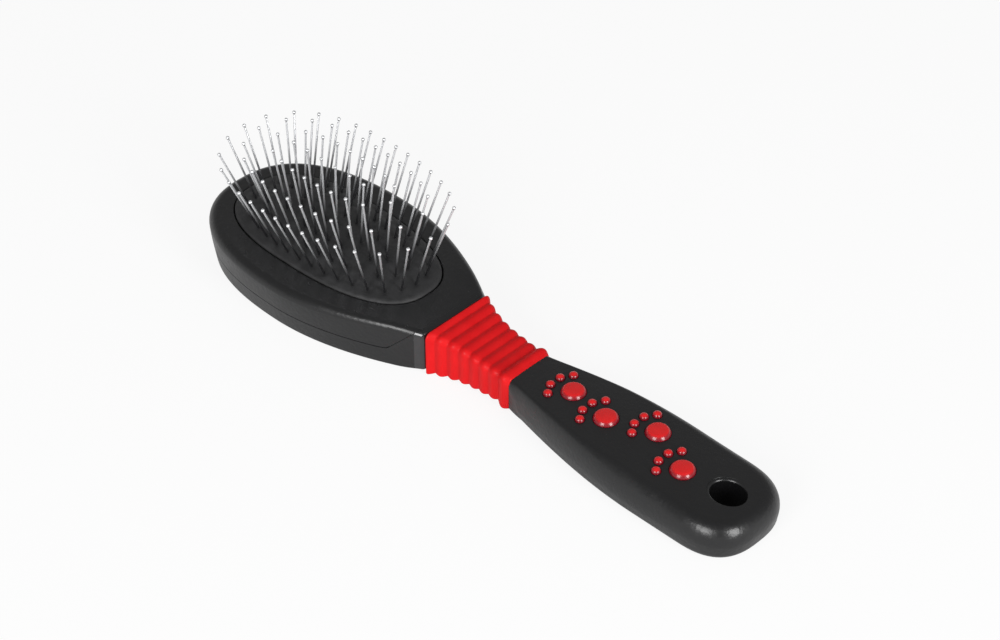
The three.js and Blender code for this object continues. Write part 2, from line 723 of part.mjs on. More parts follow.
function named(name, geometry, material) {
  const mesh = new THREE.Mesh(geometry, material);
  mesh.name = name;
  return mesh;
}

function buildBrush() {
  const brush = new THREE.Group();
  const form = outerForm();
  const buttons = pawButtons();
  brush.add(named('handle_body', toGeometry(handleBody(form, buttons)), blackPlastic));
  brush.add(named('head_frame', toGeometry(headFrame(form)), blackPlastic));

  const rings = PIN_RINGS.map((ring) => ({ ...ring, pins: ringPins(ring) }));
  const row = rowPins();
  const groups = [...rings.map((ring) => ring.pins), row];
  brush.add(named('cushion_pad', toGeometry(cushion(groups)), blackRubber));
  rings.forEach(({ name, pins, backing }) => {
    const solid = union([backingStrip(backing), ...pins.map(pinSolid)]);
    brush.add(named(name, toGeometry(solid), steel));
  });
  const centre = union([backingTongue(PIN_ROW.backingHalf), ...row.map(pinSolid)]);
  brush.add(named(PIN_ROW.name, toGeometry(centre), steel));

  brush.add(named('neck_sleeve', toGeometry(neckSleeve()), redRubber));

  buttons.forEach((button) => {
    const mesh = named(button.name, buttonGeometry(button), redGloss);
    mesh.position.set(button.x, button.y, topHeight(button.x));
    brush.add(mesh);
  });
  brush.position.x = -(HEAD_TIP + BRUSH_END) / 2;
  return brush;
}

export default buildBrush();
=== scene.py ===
"""Looks of the steel pin grooming brush, built over the CAD frame.

Fine shells for head and handle, the rubber cushion, the pins, the ribbed sleeve and the paw buttons.
"""
import math

import bmesh
import bpy
from mathutils import Matrix, Vector, kdtree, noise


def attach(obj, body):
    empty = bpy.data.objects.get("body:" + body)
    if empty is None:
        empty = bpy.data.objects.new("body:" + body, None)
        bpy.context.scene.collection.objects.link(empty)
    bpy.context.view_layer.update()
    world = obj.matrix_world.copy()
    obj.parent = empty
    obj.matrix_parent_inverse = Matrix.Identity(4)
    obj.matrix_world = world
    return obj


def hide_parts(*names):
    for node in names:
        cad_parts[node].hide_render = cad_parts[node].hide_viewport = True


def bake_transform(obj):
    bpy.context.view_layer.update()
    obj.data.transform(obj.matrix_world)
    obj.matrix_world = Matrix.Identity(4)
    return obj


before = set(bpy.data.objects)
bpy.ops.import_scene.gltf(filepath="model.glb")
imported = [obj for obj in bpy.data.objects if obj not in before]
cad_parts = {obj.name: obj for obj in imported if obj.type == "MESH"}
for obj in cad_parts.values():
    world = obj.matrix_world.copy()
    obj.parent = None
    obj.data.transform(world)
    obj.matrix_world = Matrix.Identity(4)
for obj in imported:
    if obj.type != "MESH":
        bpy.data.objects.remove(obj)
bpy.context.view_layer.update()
BODY = "brush_body"
PINS = "pin_field"

MM = 0.001
TINY = 1e-9  # guards against dividing by zero

# ---------------- driving dimensions, in millimetres
# Stations run along the brush from just before the head's tip, as in the part's source.

HEAD_TIP = 1.0
BRUSH_END = 206.6
MIDDLE_STATION = (HEAD_TIP + BRUSH_END) / 2
HEAD_WIDEST_AT = 45
HEAD_HALF_WIDTH = 27.8
HEAD_TIP_BLUNTNESS = 2.4
NECK_START = 93.6
NECK_END = 122.4
HANDLE_WIDEST_AT = 174
HANDLE_HALF_WIDTH = 15.8
HANDLE_END_FROM = 189.5
HANDLE_END_BLUNTNESS = 2.65
OUTLINE_KNOTS = [  # (station, half-width, slope)
    (HEAD_WIDEST_AT, HEAD_HALF_WIDTH, 0),
    (NECK_START, 12.3, -0.54),
    (111.5, 8.2, 0),
    (NECK_END, 8.35, 0.24),
    (HANDLE_WIDEST_AT, HANDLE_HALF_WIDTH, 0),
]

HEAD_THICKNESS = 15.0
TOP_KNOTS = [  # (station, height, slope)
    (82, HEAD_THICKNESS, 0),
    (93.6, 13.8, -0.12),
    (108, 11.9, -0.09),
    (118, 11.4, 0),
    (150, 12.3, 0.01),
    (BRUSH_END, 11.1, -0.03),
]
BACK_KNOTS = [
    (86, 0, 0),
    (95, 0.75, 0.03),
    (119, 1.8, 0),
    (127, 0, 0),
]

# Between these stations the wall turns from the head's shape into the handle's.
HANDLE_SHAPE_FROM = NECK_END - 2
HANDLE_SHAPE_TO = NECK_END + 6
HEAD_BOTTOM_TUCK = 1.35
TUCK_FADE_POWER = 1.3  # over 1, the tuck fades faster low on the wall than near its widest line
HEAD_BOTTOM_RADIUS = 0.6
HEAD_SHOULDER = 3.0
NECK_SHOULDER = 1.8
NECK_BOTTOM_TUCK = 0
HANDLE_BOTTOM_TUCK = 0.3
HANDLE_WALL_POWER = 2.2  # the handle's wall stands straighter than a quarter ellipse and turns in late
HANDLE_BOTTOM_RADIUS = 2.4
SHOULDER_KNOTS = [  # how far the handle's wall leans in from its widest line to the top
    (NECK_END, 1.7, 0.01),
    (145, 2.6, 0.045),
    (178, 4.75, 0),
    (BRUSH_END, 5.2, 0),
]
DOWN_KNOTS = [  # how far the handle's wall reaches down from the top to its widest line
    (NECK_END, 7.4, 0),
    (178, 7.8, 0),
    (198, 6.4, 0),
]
HANDLE_CROWN = 0.3

# Insets go square to the outline at both ends of the brush, and straight across it in between.
ACROSS_FADES_IN = (28, 60)
ACROSS_FADES_OUT = (160, 188)
LEAST_SIDEWAYS = 0.3  # bounds an inset across the brush where the outline turns away

PARTING_HEIGHT = 5.7
PARTING_GAP = 0.14
PARTING_GAP_AT_TOP = 0.02
PARTING_CLOSES_FROM = 0.5  # from this share of the wall's rise the gap narrows
PARTING_RAMP_FROM = 82.9
PARTING_RAMP_TO = 92.2  # where the ramp would reach the head's full thickness
PARTING_EASE = 4  # the line starts to rise this far before the ramp
PARTING_EASE_RISE = 0.3  # and has risen this much where the ramp starts
STRAIGHT_SHARE = 0.4  # the share of a rise that is straight wall; the rest is the shoulder
RAMP_ROUNDS = 12  # enough to settle where a level of the wall meets the ramp
FRAME_WALL = 2.8
FRAME_CHAMFER = 0.1
FRAME_UNDERSIDE = 11.8
TRAY_END = NECK_START - 0.1
TRAY_END_RADIUS = 0.9
POLISHED_FROM = 90.6  # from here the block before the sleeve is polished, and its colour painted lighter as painted reflection
BLOCK_BREAK_SHARE = 0.4  # where the block starts later, its steps break at this share of it
WALL_BELOW = 0.8  # a face whose direction rises less than this belongs to the wall

OPENING_HALF = 18.6
OPENING_EDGE_RADIUS = 0.5
CUSHION_HALF = 18.4
CUSHION_MIDDLE = 40.4
CUSHION_TO_TIP = 32.2
CUSHION_TO_NECK = 41.6
OVAL_TAPER_TO_NECK = 1.22
PIN_OVAL_DROP_TO_TIP = 2.5
PIN_OVAL_DROP_TO_NECK = 1.8
PIN_OVAL_DROP_WITHIN = 3.3
CUSHION_BLUNTNESS = 2.5
DOME_RADIUS = 36
DOME_EDGE_HEIGHT = 14.1
CUSHION_EDGE_HEIGHT = 15.35  # the rubber's own dome, a little proud of the frame at its edge
CUSHION_TOP_HEIGHT = 19.16
CUSHION_EDGE_ROUND = 0.7
CUSHION_BOTTOM = 11.2
CUSHION_OFFSET = (-0.14, 0.12)  # it sits a little off the opening's middle, which widens the near groove
DIMPLE_DEPTH = 0.42
DIMPLE_WIDTH = 1.15
UNEVENNESS = 0.2
UNEVENNESS_SPAN = 2.2
# Dimples and unevenness grow from the first height to the second.
RELIEF_FROM = CUSHION_EDGE_HEIGHT - 0.6
RELIEF_FULL = CUSHION_EDGE_HEIGHT + 0.5

PIN_REACH = 22.3
PIN_RADIUS = 0.31
BALL_RADIUS = 0.55
BALL_NECK = 0.25  # a row of points this far below the ball keeps the wire straight
PIN_ROOT = 2.4
PIN_LEAN_RADIUS = 40
PIN_LEAN_LOST_AT_NECK = 0.2  # the share by which the pins at the oval's neck end lean less
PIN_FIELD_SHIFT = 0.8
PIN_RINGS = [
    ("pin_ring_outer", 15.4, 32),
    ("pin_ring_second", 11.2, 25),
    ("pin_ring_third", 5.8, 18),
]
PIN_ROW = ("pin_row_centre", 30, 55, 6)
PIN_ROW_FAN = 0.1  # radians by which the pins at the row's ends lean

RIB_COUNT = 8
RIB_HEIGHT_AT_HEAD = 0.52
RIB_HEIGHT_AT_HANDLE = 0.42
GROOVE_LIFT_AT_HEAD = 0.35  # the grooves' floor stands this far off the neck's own line
GROOVE_LIFT_AT_HANDLE = 0.08
RIB_ROUNDNESS = 1.25  # over 1 widens the grooves, under 1 narrows them
BEAD_WIDTH = 1.25  # the last rib is a bead, this many ribs wide
BEAD_HEIGHT = 0.95
SLEEVE_START_PHASE = 0.35  # the share of the first rib that is cut off
SLEEVE_GAP = 0.3  # between the head and the sleeve
SLEEVE_END_GAP = 0.1  # between the sleeve and the handle
SLEEVE_INNER_OFFSET = -1.5
LEAST_HEIGHT = 0.03  # the ribs stay this far off the surface that the brush lies on
NECK_CORE_OFFSET = -1.85
NECK_CORE_OVERLAP = 0.4  # it reaches this far into the head and the handle

HOLE_AT = 194.8
HOLE_HALF_LENGTH = 5.3
HOLE_HALF_WIDTH = 4.5
HOLE_EDGE_RADIUS = 0.8
PLUG_FLARE = 0.6  # the cutting plug's ends are this much wider than the rounded edge
PLUG_REACH = 1.5  # and stand this far past both faces
BORE_TOLERANCE = 0.03

PAW_CENTRES = [(138.7, 0.4), (152.6, -1.7), (166.5, 3.9), (180.8, -2.4)]
PAW_PAD_RADIUS = 3.65
PAW_PAD_RISE = 1.35
PAD_RIM = 0.95
PAD_CROWN = 0.12
PAD_CHAMFER = 1.45  # over 1 flattens the rim's round into a chamfer
TOE_RADIUS = 1.38
TOE_RISE = 1.2
TOE_FULLNESS = 0.9  # under 1 makes the toe's dome fuller
TOE_DISTANCE = 7.1
TOE_ANGLES = [47, 16, -16, -47]
BUTTON_DEPTH = 0.7
BUTTON_GAP = 0.15
RECESS_CUTTER_HEIGHT = 4

# ---------------- how finely the shapes are divided

TIP_WALK_STEPS = 160
SIDE_WALK_STEPS = 420
END_WALK_STEPS = 140
OVAL_STEPS = 1440
BEARING_STEPS = 4  # points of an oval on either side that give its direction
HEAD_SIDE_STEPS = 150
RISE_STEPS = 14
OPENING_EDGE_STEPS = 6
TRAY_SIDE_STEPS = 140
BLOCK_STEPS = 12
POLISHED_STEPS = 4
END_STEPS = 6
CHORD_STEPS = 11
HANDLE_SIDE_STEPS = 190
CORNER_STEPS = 8  # the handle's bottom corner, straight wall and shoulder
WALL_STEPS = 3
SHOULDER_STEPS = 28
HOLE_SEGMENTS = 96
HOLE_EDGE_STEPS = 8
RECESS_SEGMENTS = 40
PIN_SEGMENTS = 12
BALL_STEPS = 8
CUSHION_AROUND = 264
CUSHION_EDGE_STEPS = 7
CUSHION_DOME_STEPS = 44
SECTION_WALL_STEPS = 28
SECTION_FLAT_STEPS = 5
RIB_STEPS = 16
FIRST_EDGE_STEPS = 4  # steps over which the first rib's cut edge is rounded
SLEEVE_INNER_STEPS = 12
NECK_CORE_STEPS = 14
BUTTON_STEPS = 10
PAD_SEGMENTS = 56
TOE_SEGMENTS = 28


# ---------------- small maths

def smoothstep(start, end, value):
    t = min(1, max(0, (value - start) / (end - start)))
    return t * t * (3 - 2 * t)


def mix(a, b, t):
    return a + (b - a) * t


def quarter_angles(steps):
    """Even steps over a right angle, with both ends."""
    return [i / steps * math.pi / 2 for i in range(steps + 1)]


def turn_angles(steps):
    """Even steps over a whole turn, with its start alone."""
    return [i / steps * 2 * math.pi for i in range(steps)]


def quarter_round(radius, steps):
    """A rounded edge as (how far out, how deep), from the face down to the wall."""
    return [(radius * (1 - math.sin(a)), radius * (1 - math.cos(a))) for a in quarter_angles(steps)]


def hermite(start, end, station):
    span = end[0] - start[0]
    t = (station - start[0]) / span
    t2 = t * t
    t3 = t2 * t
    return ((2 * t3 - 3 * t2 + 1) * start[1] + (t3 - 2 * t2 + t) * span * start[2]
            + (3 * t2 - 2 * t3) * end[1] + (t3 - t2) * span * end[2])


def through(knots, station):
    """A smooth curve through knots of (station, value, slope), level before the first and after the last."""
    if station <= knots[0][0]:
        return knots[0][1]
    for start, end in zip(knots, knots[1:]):
        if station <= end[0]:
            return hermite(start, end, station)
    return knots[-1][1]


def super_radius(u, power):
    return max(0, 1 - abs(u) ** power) ** (1 / power)


def place(station, across, height):
    """A point of the brush in metres, in the row frame."""
    return Vector(((station - MIDDLE_STATION) * MM, across * MM, height * MM))


# ---------------- plan outline and side profile

def half_width(station):
    if station <= HEAD_WIDEST_AT:
        short = min(1, (HEAD_WIDEST_AT - station) / (HEAD_WIDEST_AT - HEAD_TIP))
        return HEAD_HALF_WIDTH * super_radius(short, HEAD_TIP_BLUNTNESS)
    if station <= HANDLE_WIDEST_AT:
        return through(OUTLINE_KNOTS, station)
    past = min(1, max(0, (station - HANDLE_END_FROM) / (BRUSH_END - HANDLE_END_FROM)))
    return HANDLE_HALF_WIDTH * super_radius(past, HANDLE_END_BLUNTNESS)


def top_height(station):
    return through(TOP_KNOTS, station)


def bottom_height(station):
    return through(BACK_KNOTS, station)


def handle_share(station):
    """How far the wall has turned from the head's shape, at 0, into the handle's, at 1."""
    return smoothstep(HANDLE_SHAPE_FROM, HANDLE_SHAPE_TO, station)


def wall_shape(station):
    """The wall's bottom tuck and radius, and how far its upper quarter leans in and reaches down."""
    toward_handle = handle_share(station)
    along_head = smoothstep(HEAD_WIDEST_AT, NECK_START, station)
    shoulder = mix(HEAD_SHOULDER, NECK_SHOULDER, along_head)
    tuck = mix(mix(HEAD_BOTTOM_TUCK, NECK_BOTTOM_TUCK, along_head), HANDLE_BOTTOM_TUCK, toward_handle)
    radius = mix(HEAD_BOTTOM_RADIUS, HANDLE_BOTTOM_RADIUS, toward_handle)
    inward = mix(shoulder, through(SHOULDER_KNOTS, station), toward_handle)
    down = mix(shoulder, through(DOWN_KNOTS, station), toward_handle)
    return tuck, radius, inward, down


def wall_inset(station, height):
    """How far the wall stands in from the plan outline at a height."""
    tuck, radius, inward, down = wall_shape(station)
    low = bottom_height(station) + radius
    widest = top_height(station) - down
    if height < low:
        share = min(1, (low - height) / radius)
        return tuck + radius * (1 - math.sqrt(1 - share * share))
    if height < widest:
        return tuck * (1 - (height - low) / (widest - low)) ** TUCK_FADE_POWER
    up = min(1, (height - widest) / down)
    power = mix(2, HANDLE_WALL_POWER, handle_share(station))
    return inward * (1 - (1 - up ** power) ** (1 / power))


def wall_height(station, turn):
    """The wall's height where its surface has turned from the back, at 0, to the top face, at 1.

    The first quarter is the bottom corner, the second the straight wall, the rest the shoulder.
    """
    _, radius, _, down = wall_shape(station)
    low, high = bottom_height(station), top_height(station)
    if turn < 0.25:
        return low + radius * (1 - math.cos(turn * 2 * math.pi))
    if turn < 0.5:
        return mix(low + radius, high - down, (turn - 0.25) * 4)
    return high - down * (1 - math.sin((turn - 0.5) * math.pi))


def far_walk():
    """Close points along the far side of the outline, each with its outward direction and run so far."""
    tip_reach = HEAD_WIDEST_AT - HEAD_TIP
    end_reach = BRUSH_END - HANDLE_END_FROM
    stations = [HEAD_WIDEST_AT - tip_reach * math.cos(a) ** (2 / HEAD_TIP_BLUNTNESS)
                for a in quarter_angles(TIP_WALK_STEPS)[:-1]]
    stations += [mix(HEAD_WIDEST_AT, HANDLE_END_FROM, i / SIDE_WALK_STEPS) for i in range(SIDE_WALK_STEPS)]
    stations += [HANDLE_END_FROM + end_reach * math.sin(a) ** (2 / HANDLE_END_BLUNTNESS)
                 for a in quarter_angles(END_WALK_STEPS)]
    points = [Vector((s, half_width(s))) for s in stations]
    points[0].y = 0
    points[-1].y = 0
    walk = []
    run = 0
    for i, point in enumerate(points):
        before = points[i - 1] if i else Vector((points[1].x, -points[1].y))
        after = points[i + 1] if i + 1 < len(points) else Vector((points[-2].x, -points[-2].y))
        along = (after - before).normalized()
        run += (point - points[i - 1]).length if i else 0
        walk.append((run, point, Vector((-along.y, along.x))))
    return walk


WALK = far_walk()


def run_at(station):
    for (run_a, a, _), (run_b, b, _) in zip(WALK, WALK[1:]):
        if b.x >= station:
            return mix(run_a, run_b, (station - a.x) / max(TINY, b.x - a.x))
    return WALK[-1][0]


def on_walk(run):
    low, high = 0, len(WALK) - 1
    while high - low > 1:
        half = (low + high) // 2
        low, high = (half, high) if WALK[half][0] <= run else (low, half)
    run_a, a, normal_a = WALK[low]
    run_b, b, normal_b = WALK[high]
    t = min(1, max(0, (run - run_a) / (run_b - run_a)))
    return a.lerp(b, t), normal_a.lerp(normal_b, t).normalized()


def side_points(start, end, count, with_end=True):
    """Even steps along the far side between two stations, as (point, outward direction)."""
    run_start, run_end = run_at(start), run_at(end)
    return [on_walk(mix(run_start, run_end, i / count)) for i in range(count + (1 if with_end else 0))]


def stepped_in(point, normal, inset):
    """The point moved in from the outline: square to it at the ends, across the brush along the middle."""
    across = smoothstep(*ACROSS_FADES_IN, point.x) * (1 - smoothstep(*ACROSS_FADES_OUT, point.x))
    square = point - normal * inset
    straight = Vector((point.x, point.y - inset / max(LEAST_SIDEWAYS, normal.y)))
    return square.lerp(straight, across)


# ---------------- mesh building

ORDER = "ring_order"
# Points closer than these distances, in metres, become one.
MERGE_IN_LOFT = 0.00001
MERGE_IN_TURNING = 0.000005
MERGE_AFTER_CUT = 0.000002
SHORTEST_EDGE = 0.000004


def loft(rings, closed=False):
    """Extrudes one loop of edges from ring to ring of equal count. Doubled points merge at the end."""
    bm = bmesh.new()
    order = bm.verts.layers.int.new(ORDER)
    count = len(rings[0])
    bmesh.ops.create_circle(bm, cap_ends=False, segments=count, radius=1)
    bm.verts.ensure_lookup_table()
    vertex = bm.verts[0]
    edge = vertex.link_edges[0]
    for i in range(count):
        vertex[order] = i
        edge = next(e for e in vertex.link_edges if e is not edge) if i else edge
        vertex = edge.other_vert(vertex)
    edges = list(bm.edges)
    for v in bm.verts:
        v.co = rings[0][v[order]]
    for ring in (rings[1:] + rings[:1] if closed else rings[1:]):
        made = bmesh.ops.extrude_edge_only(bm, edges=edges)["geom"]
        edges = [g for g in made if isinstance(g, bmesh.types.BMEdge)]
        for v in (g for g in made if isinstance(g, bmesh.types.BMVert)):
            v.co = ring[v[order]]
    bmesh.ops.remove_doubles(bm, verts=bm.verts, dist=MERGE_IN_LOFT)
    bmesh.ops.dissolve_degenerate(bm, dist=SHORTEST_EDGE, edges=bm.edges)
    return bm


def revolved(profile, segments):
    """A closed turned shape from (radius, height) in metres, its ends on the axis."""
    bm = bmesh.new()
    points = [bm.verts.new((radius, 0, height)) for radius, height in profile]
    for a, b in zip(points, points[1:]):
        bm.edges.new((a, b))
    bmesh.ops.spin(bm, geom=bm.verts[:] + bm.edges[:], axis=(0, 0, 1), cent=(0, 0, 0),
                   angle=2 * math.pi, steps=segments, use_merge=True)
    bmesh.ops.remove_doubles(bm, verts=bm.verts, dist=MERGE_IN_TURNING)
    return bm


def baked(name, bm):
    """Turns a closed shape's faces outward and makes it a mesh."""
    bmesh.ops.recalc_face_normals(bm, faces=bm.faces)
    if bm.calc_volume(signed=True) < 0:
        bmesh.ops.reverse_faces(bm, faces=bm.faces)
    mesh = bpy.data.meshes.new(name)
    bm.to_mesh(mesh)
    bm.free()
    return mesh


def new_object(name, data):
    obj = bpy.data.objects.new(name, data)
    bpy.context.scene.collection.objects.link(obj)
    return obj


def piece(name, bm, material, body, replaced, crease=35):
    """Makes the mesh an object, smooth but for creases sharper than the angle, and ties it to the frame.

    A piece that is blended between two bodies is given none here.
    """
    mesh = baked(name, bm)
    for face in mesh.polygons:
        face.use_smooth = True
    if mesh.attributes.get(ORDER):
        mesh.attributes.remove(mesh.attributes[ORDER])
    mesh.set_sharp_from_angle(angle=math.radians(crease))
    mesh.materials.append(material)
    obj = new_object(name, mesh)
    if body:
        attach(obj, body)
    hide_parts(replaced)
    return obj


def cut_away(bm, cutters):
    """Subtracts closed shapes from a closed shape with the exact solver and gives the result."""
    kept = new_object("kept", baked("kept", bm))
    tool = new_object("tool", baked("tool", cutters))
    modifier = kept.modifiers.new("cut", "BOOLEAN")
    modifier.operation = "DIFFERENCE"
    modifier.solver = "EXACT"
    modifier.object = tool
    bpy.context.view_layer.update()
    result = bmesh.new()
    result.from_object(kept, bpy.context.evaluated_depsgraph_get())
    for obj in (kept, tool):
        bpy.data.objects.remove(obj)
    bmesh.ops.remove_doubles(result, verts=result.verts, dist=MERGE_AFTER_CUT)
    return result


def weighted(obj):
    """Lets large flat faces keep their own direction beside rounded edges."""
    modifier = obj.modifiers.new("flat_faces", "WEIGHTED_NORMAL")
    modifier.mode = "FACE_AREA"
    modifier.keep_sharp = True
    return obj


# ---------------- materials

NOISE_LOW, NOISE_HIGH = 0.3, 0.7  # where nearly all values of a noise lie
GRAIN_DEPTH = 0.0001  # metres
ELASTOMER_GRAIN_DEPTH = 0.00008  # metres
# Between these heights the wires' colour is painted from dark to light: painted shade near their foot.
WIRE_SHADE_FULL_BELOW, WIRE_SHADE_GONE_ABOVE = 0.02, 0.0335  # heights in metres
BUTTON_SHADE_FULL_BELOW = 0.45  # how little a button's side looks up where its painted shade is darkest
WHITE = "#ffffff"


def linear(hex_colour):
    """An sRGB hex colour as linear RGBA."""
    parts = [int(hex_colour[i:i + 2], 16) / 255 for i in (1, 3, 5)]
    return (*[p / 12.92 if p <= 0.04045 else ((p + 0.055) / 1.055) ** 2.4 for p in parts], 1)


def add(tree, kind, inputs=None, **settings):
    """Adds one node with its settings. An input that is given a socket is linked, any other is set."""
    made = tree.nodes.new("ShaderNode" + kind)
    for name, value in settings.items():
        setattr(made, name, value)
    for name, value in (inputs or {}).items():
        if isinstance(value, bpy.types.NodeSocket):
            tree.links.new(value, made.inputs[name])
        else:
            made.inputs[name].default_value = value
    return made


def new_material(name):
    material = bpy.data.materials.new(name)
    material.use_nodes = True
    material.node_tree.nodes.clear()
    return material, material.node_tree


def spots(tree, size_mm, **inputs):
    """Noise whose blotches are about size_mm across, on Object coordinates."""
    where = add(tree, "TexCoord").outputs["Object"]
    return add(tree, "TexNoise", {"Vector": where, "Scale": 1000 / size_mm, **inputs}).outputs["Fac"]


def ranged(tree, value, start, end, low=0, high=1, how="LINEAR"):
    """Maps the stretch of a value from start to end onto low to high."""
    inputs = {"Value": value, "From Min": start, "From Max": end, "To Min": low, "To Max": high}
    return add(tree, "MapRange", inputs, interpolation_type=how).outputs["Result"]


def spread(tree, value, low, high):
    """Turns a noise value into a range."""
    return ranged(tree, value, NOISE_LOW, NOISE_HIGH, low, high)


def height_of(tree, vector):
    return add(tree, "SeparateXYZ", {"Vector": vector}).outputs["Z"]


def bumps(tree, grain, strength, depth=GRAIN_DEPTH):
    """Directions of a surface with a fine grain."""
    inputs = {"Height": grain, "Strength": strength, "Distance": depth}
    return add(tree, "Bump", inputs).outputs["Normal"]


def blend_colours(tree, factor, first, second):
    """Mixes two colours, each of them a hex colour or a socket."""
    first, second = (linear(colour) if isinstance(colour, str) else colour for colour in (first, second))
    return add(tree, "Mix", {0: factor, 6: first, 7: second}, data_type="RGBA").outputs[2]


def finish(tree, **inputs):
    """Ends a material with one shader. Its inputs' names have _ for spaces."""
    shader = add(tree, "BsdfPrincipled", {key.replace("_", " "): v for key, v in inputs.items()})
    add(tree, "OutputMaterial", {"Surface": shader.outputs[0]})


def moulded_abs():
    """Injection-moulded black ABS with a fine spark-eroded texture: a satin black that shows soft lights."""
    material, tree = new_material("moulded_black_abs")
    cloud = spots(tree, 22, Detail=3)
    grain = spots(tree, 1.2, Detail=1)
    wear = spots(tree, 3, Detail=5)
    finish(tree, Base_Color=blend_colours(tree, spread(tree, cloud, 0, 1), "#121213", "#141415"),
           Roughness=spread(tree, wear, 0.27, 0.35), Normal=bumps(tree, grain, 0.7))
    return material


def polished_abs_painted_light():
    """The same black ABS on the narrow band where the sleeve's mould closed on it: polished, and painted
    lighter, which is painted reflection.
    """
    material, tree = new_material("polished_black_abs_painted_light")
    wear = spots(tree, 2, Detail=3)
    finish(tree, Base_Color=blend_colours(tree, spread(tree, wear, 0, 1), "#1b1b1d", "#222224"),
           Roughness=spread(tree, wear, 0.16, 0.24), Coat_Weight=0.65, Coat_Roughness=0.08)
    return material


def bore_abs_painted_shade():
    """The same black ABS where a core pin made the hang hole: unpolished and dull, so it shows no lights, and
    painted darker, which is painted shade of the hole.
    """
    material, tree = new_material("dull_black_abs_painted_shade")
    grain = spots(tree, 0.9, Detail=3)
    finish(tree, Base_Color=blend_colours(tree, spread(tree, grain, 0, 1), "#060607", "#0b0b0c"),
           Roughness=spread(tree, grain, 0.6, 0.75), Specular_IOR_Level=0.08, Normal=bumps(tree, grain, 0.5))
    return material


def cushion_rubber():
    """Moulded natural rubber, matt and slightly dusty, which scatters light evenly and hides reflections."""
    material, tree = new_material("black_natural_rubber")
    dust = spots(tree, 4.5, Detail=4)
    grain = spots(tree, 0.7, Detail=3, Roughness=0.6)
    finish(tree, Base_Color=blend_colours(tree, spread(tree, dust, 0, 1), "#171718", "#2a2a2b"),
           Roughness=spread(tree, grain, 0.55, 0.68), Normal=bumps(tree, grain, 0.4))
    return material


def drawn_steel():
    """Drawn spring-steel wire with ball tips, its colour painted darker towards its foot: painted shade from
    the neighbouring pins and the cushion.
    """
    material, tree = new_material("drawn_steel_wire_painted_shade")
    scratch = spots(tree, 9, Detail=1)
    # Painted shade: the wire's colour darkens towards its foot, where the neighbouring pins and the cushion
    # shade it.
    height = height_of(tree, add(tree, "TexCoord").outputs["Object"])
    unshaded = ranged(tree, height, WIRE_SHADE_FULL_BELOW, WIRE_SHADE_GONE_ABOVE, how="SMOOTHSTEP")
    finish(tree, Base_Color=blend_colours(tree, unshaded, "#38383a", "#dcdddf"),
           Metallic=0.65, Roughness=spread(tree, scratch, 0.24, 0.3))
    return material


def soft_red():
    """Red elastomer moulded over the neck: satin, with a fine texture and weak, soft lights."""
    material, tree = new_material("red_soft_elastomer")
    cloud = spots(tree, 5, Detail=4)
    grain = spots(tree, 0.6, Detail=2)
    finish(tree, Base_Color=blend_colours(tree, spread(tree, cloud, 0, 1), "#c21216", "#cc171a"),
           Roughness=spread(tree, cloud, 0.5, 0.6), Specular_IOR_Level=0.08, Coat_Weight=0.1,
           Coat_Roughness=0.25, Normal=bumps(tree, grain, 0.35, ELASTOMER_GRAIN_DEPTH))
    return material


def glossy_red():
    """The same red elastomer, polished for the buttons: crisp lights on the rims, and sides painted a darker
    red the less they face up, which is painted shade."""
    material, tree = new_material("red_gloss_elastomer_painted_shade")
    cloud = spots(tree, 2.5, Detail=3)
    # Painted shade: the buttons' sides turn a darker red the less they face up.
    up = height_of(tree, add(tree, "NewGeometry").outputs["Normal"])
    top = ranged(tree, up, BUTTON_SHADE_FULL_BELOW, 1, how="SMOOTHSTEP")
    face = blend_colours(tree, spread(tree, cloud, 0, 1), "#cc0c0f", "#d61113")
    finish(tree, Base_Color=blend_colours(tree, top, "#780918", face),
           Roughness=spread(tree, cloud, 0.24, 0.3), Specular_IOR_Level=0.35, Coat_Weight=0.5,
           Coat_Roughness=0.12)
    return material


# ---------------- black shells

def mirrored(far, chord):
    """A whole ring from its far side: tip or start, far side, chord across the cut, near side."""
    near = [Vector((p.x, -p.y, p.z)) for p in reversed(far)]
    return [*far, *chord, *near]


def chord_points(far_end):
    """Points across a cut, from the far side's last point to its mirror, without either."""
    x, y, z = far_end
    return [Vector((x, y * (1 - 2 * i / (CHORD_STEPS + 1)), z)) for i in range(1, CHORD_STEPS + 1)]


def wall_point(point, normal, height, extra=0):
    moved = stepped_in(point, normal, wall_inset(point.x, height) + extra)
    return place(moved.x, max(0, moved.y), height)


def parting_height(station):
    """The parting line's height, with a soft start to its ramp."""
    eased = max(0, (min(station, PARTING_RAMP_FROM) - PARTING_RAMP_FROM + PARTING_EASE) / PARTING_EASE)
    return PARTING_HEIGHT + PARTING_EASE_RISE * eased * eased


def ramp_station(height):
    """Where the parting line's ramp stands at a height."""
    share = (height - PARTING_HEIGHT) / (HEAD_THICKNESS - PARTING_HEIGHT)
    return mix(PARTING_RAMP_FROM, PARTING_RAMP_TO, share)


RAMP_START = ramp_station(parting_height(PARTING_RAMP_FROM))


def rise(station, share):
    """A height from the parting line, at 0, up the straight wall and over the shoulder to the top, at 1."""
    _, _, _, down = wall_shape(station)
    top = top_height(station)
    if share < STRAIGHT_SHARE:
        return mix(parting_height(station), top - down, share / STRAIGHT_SHARE)
    return top - down * (1 - math.sin((share - STRAIGHT_SHARE) / (1 - STRAIGHT_SHARE) * math.pi / 2))


def ramp_end(share):
    """The station where a level of the wall meets the ramp."""
    station = RAMP_START
    for _ in range(RAMP_ROUNDS):
        station = ramp_station(rise(station, share))
    return station


RISES = [0, 0.1, 0.2, 0.3, STRAIGHT_SHARE]
RISES += [STRAIGHT_SHARE + (1 - STRAIGHT_SHARE) * i / RISE_STEPS for i in range(1, RISE_STEPS + 1)]


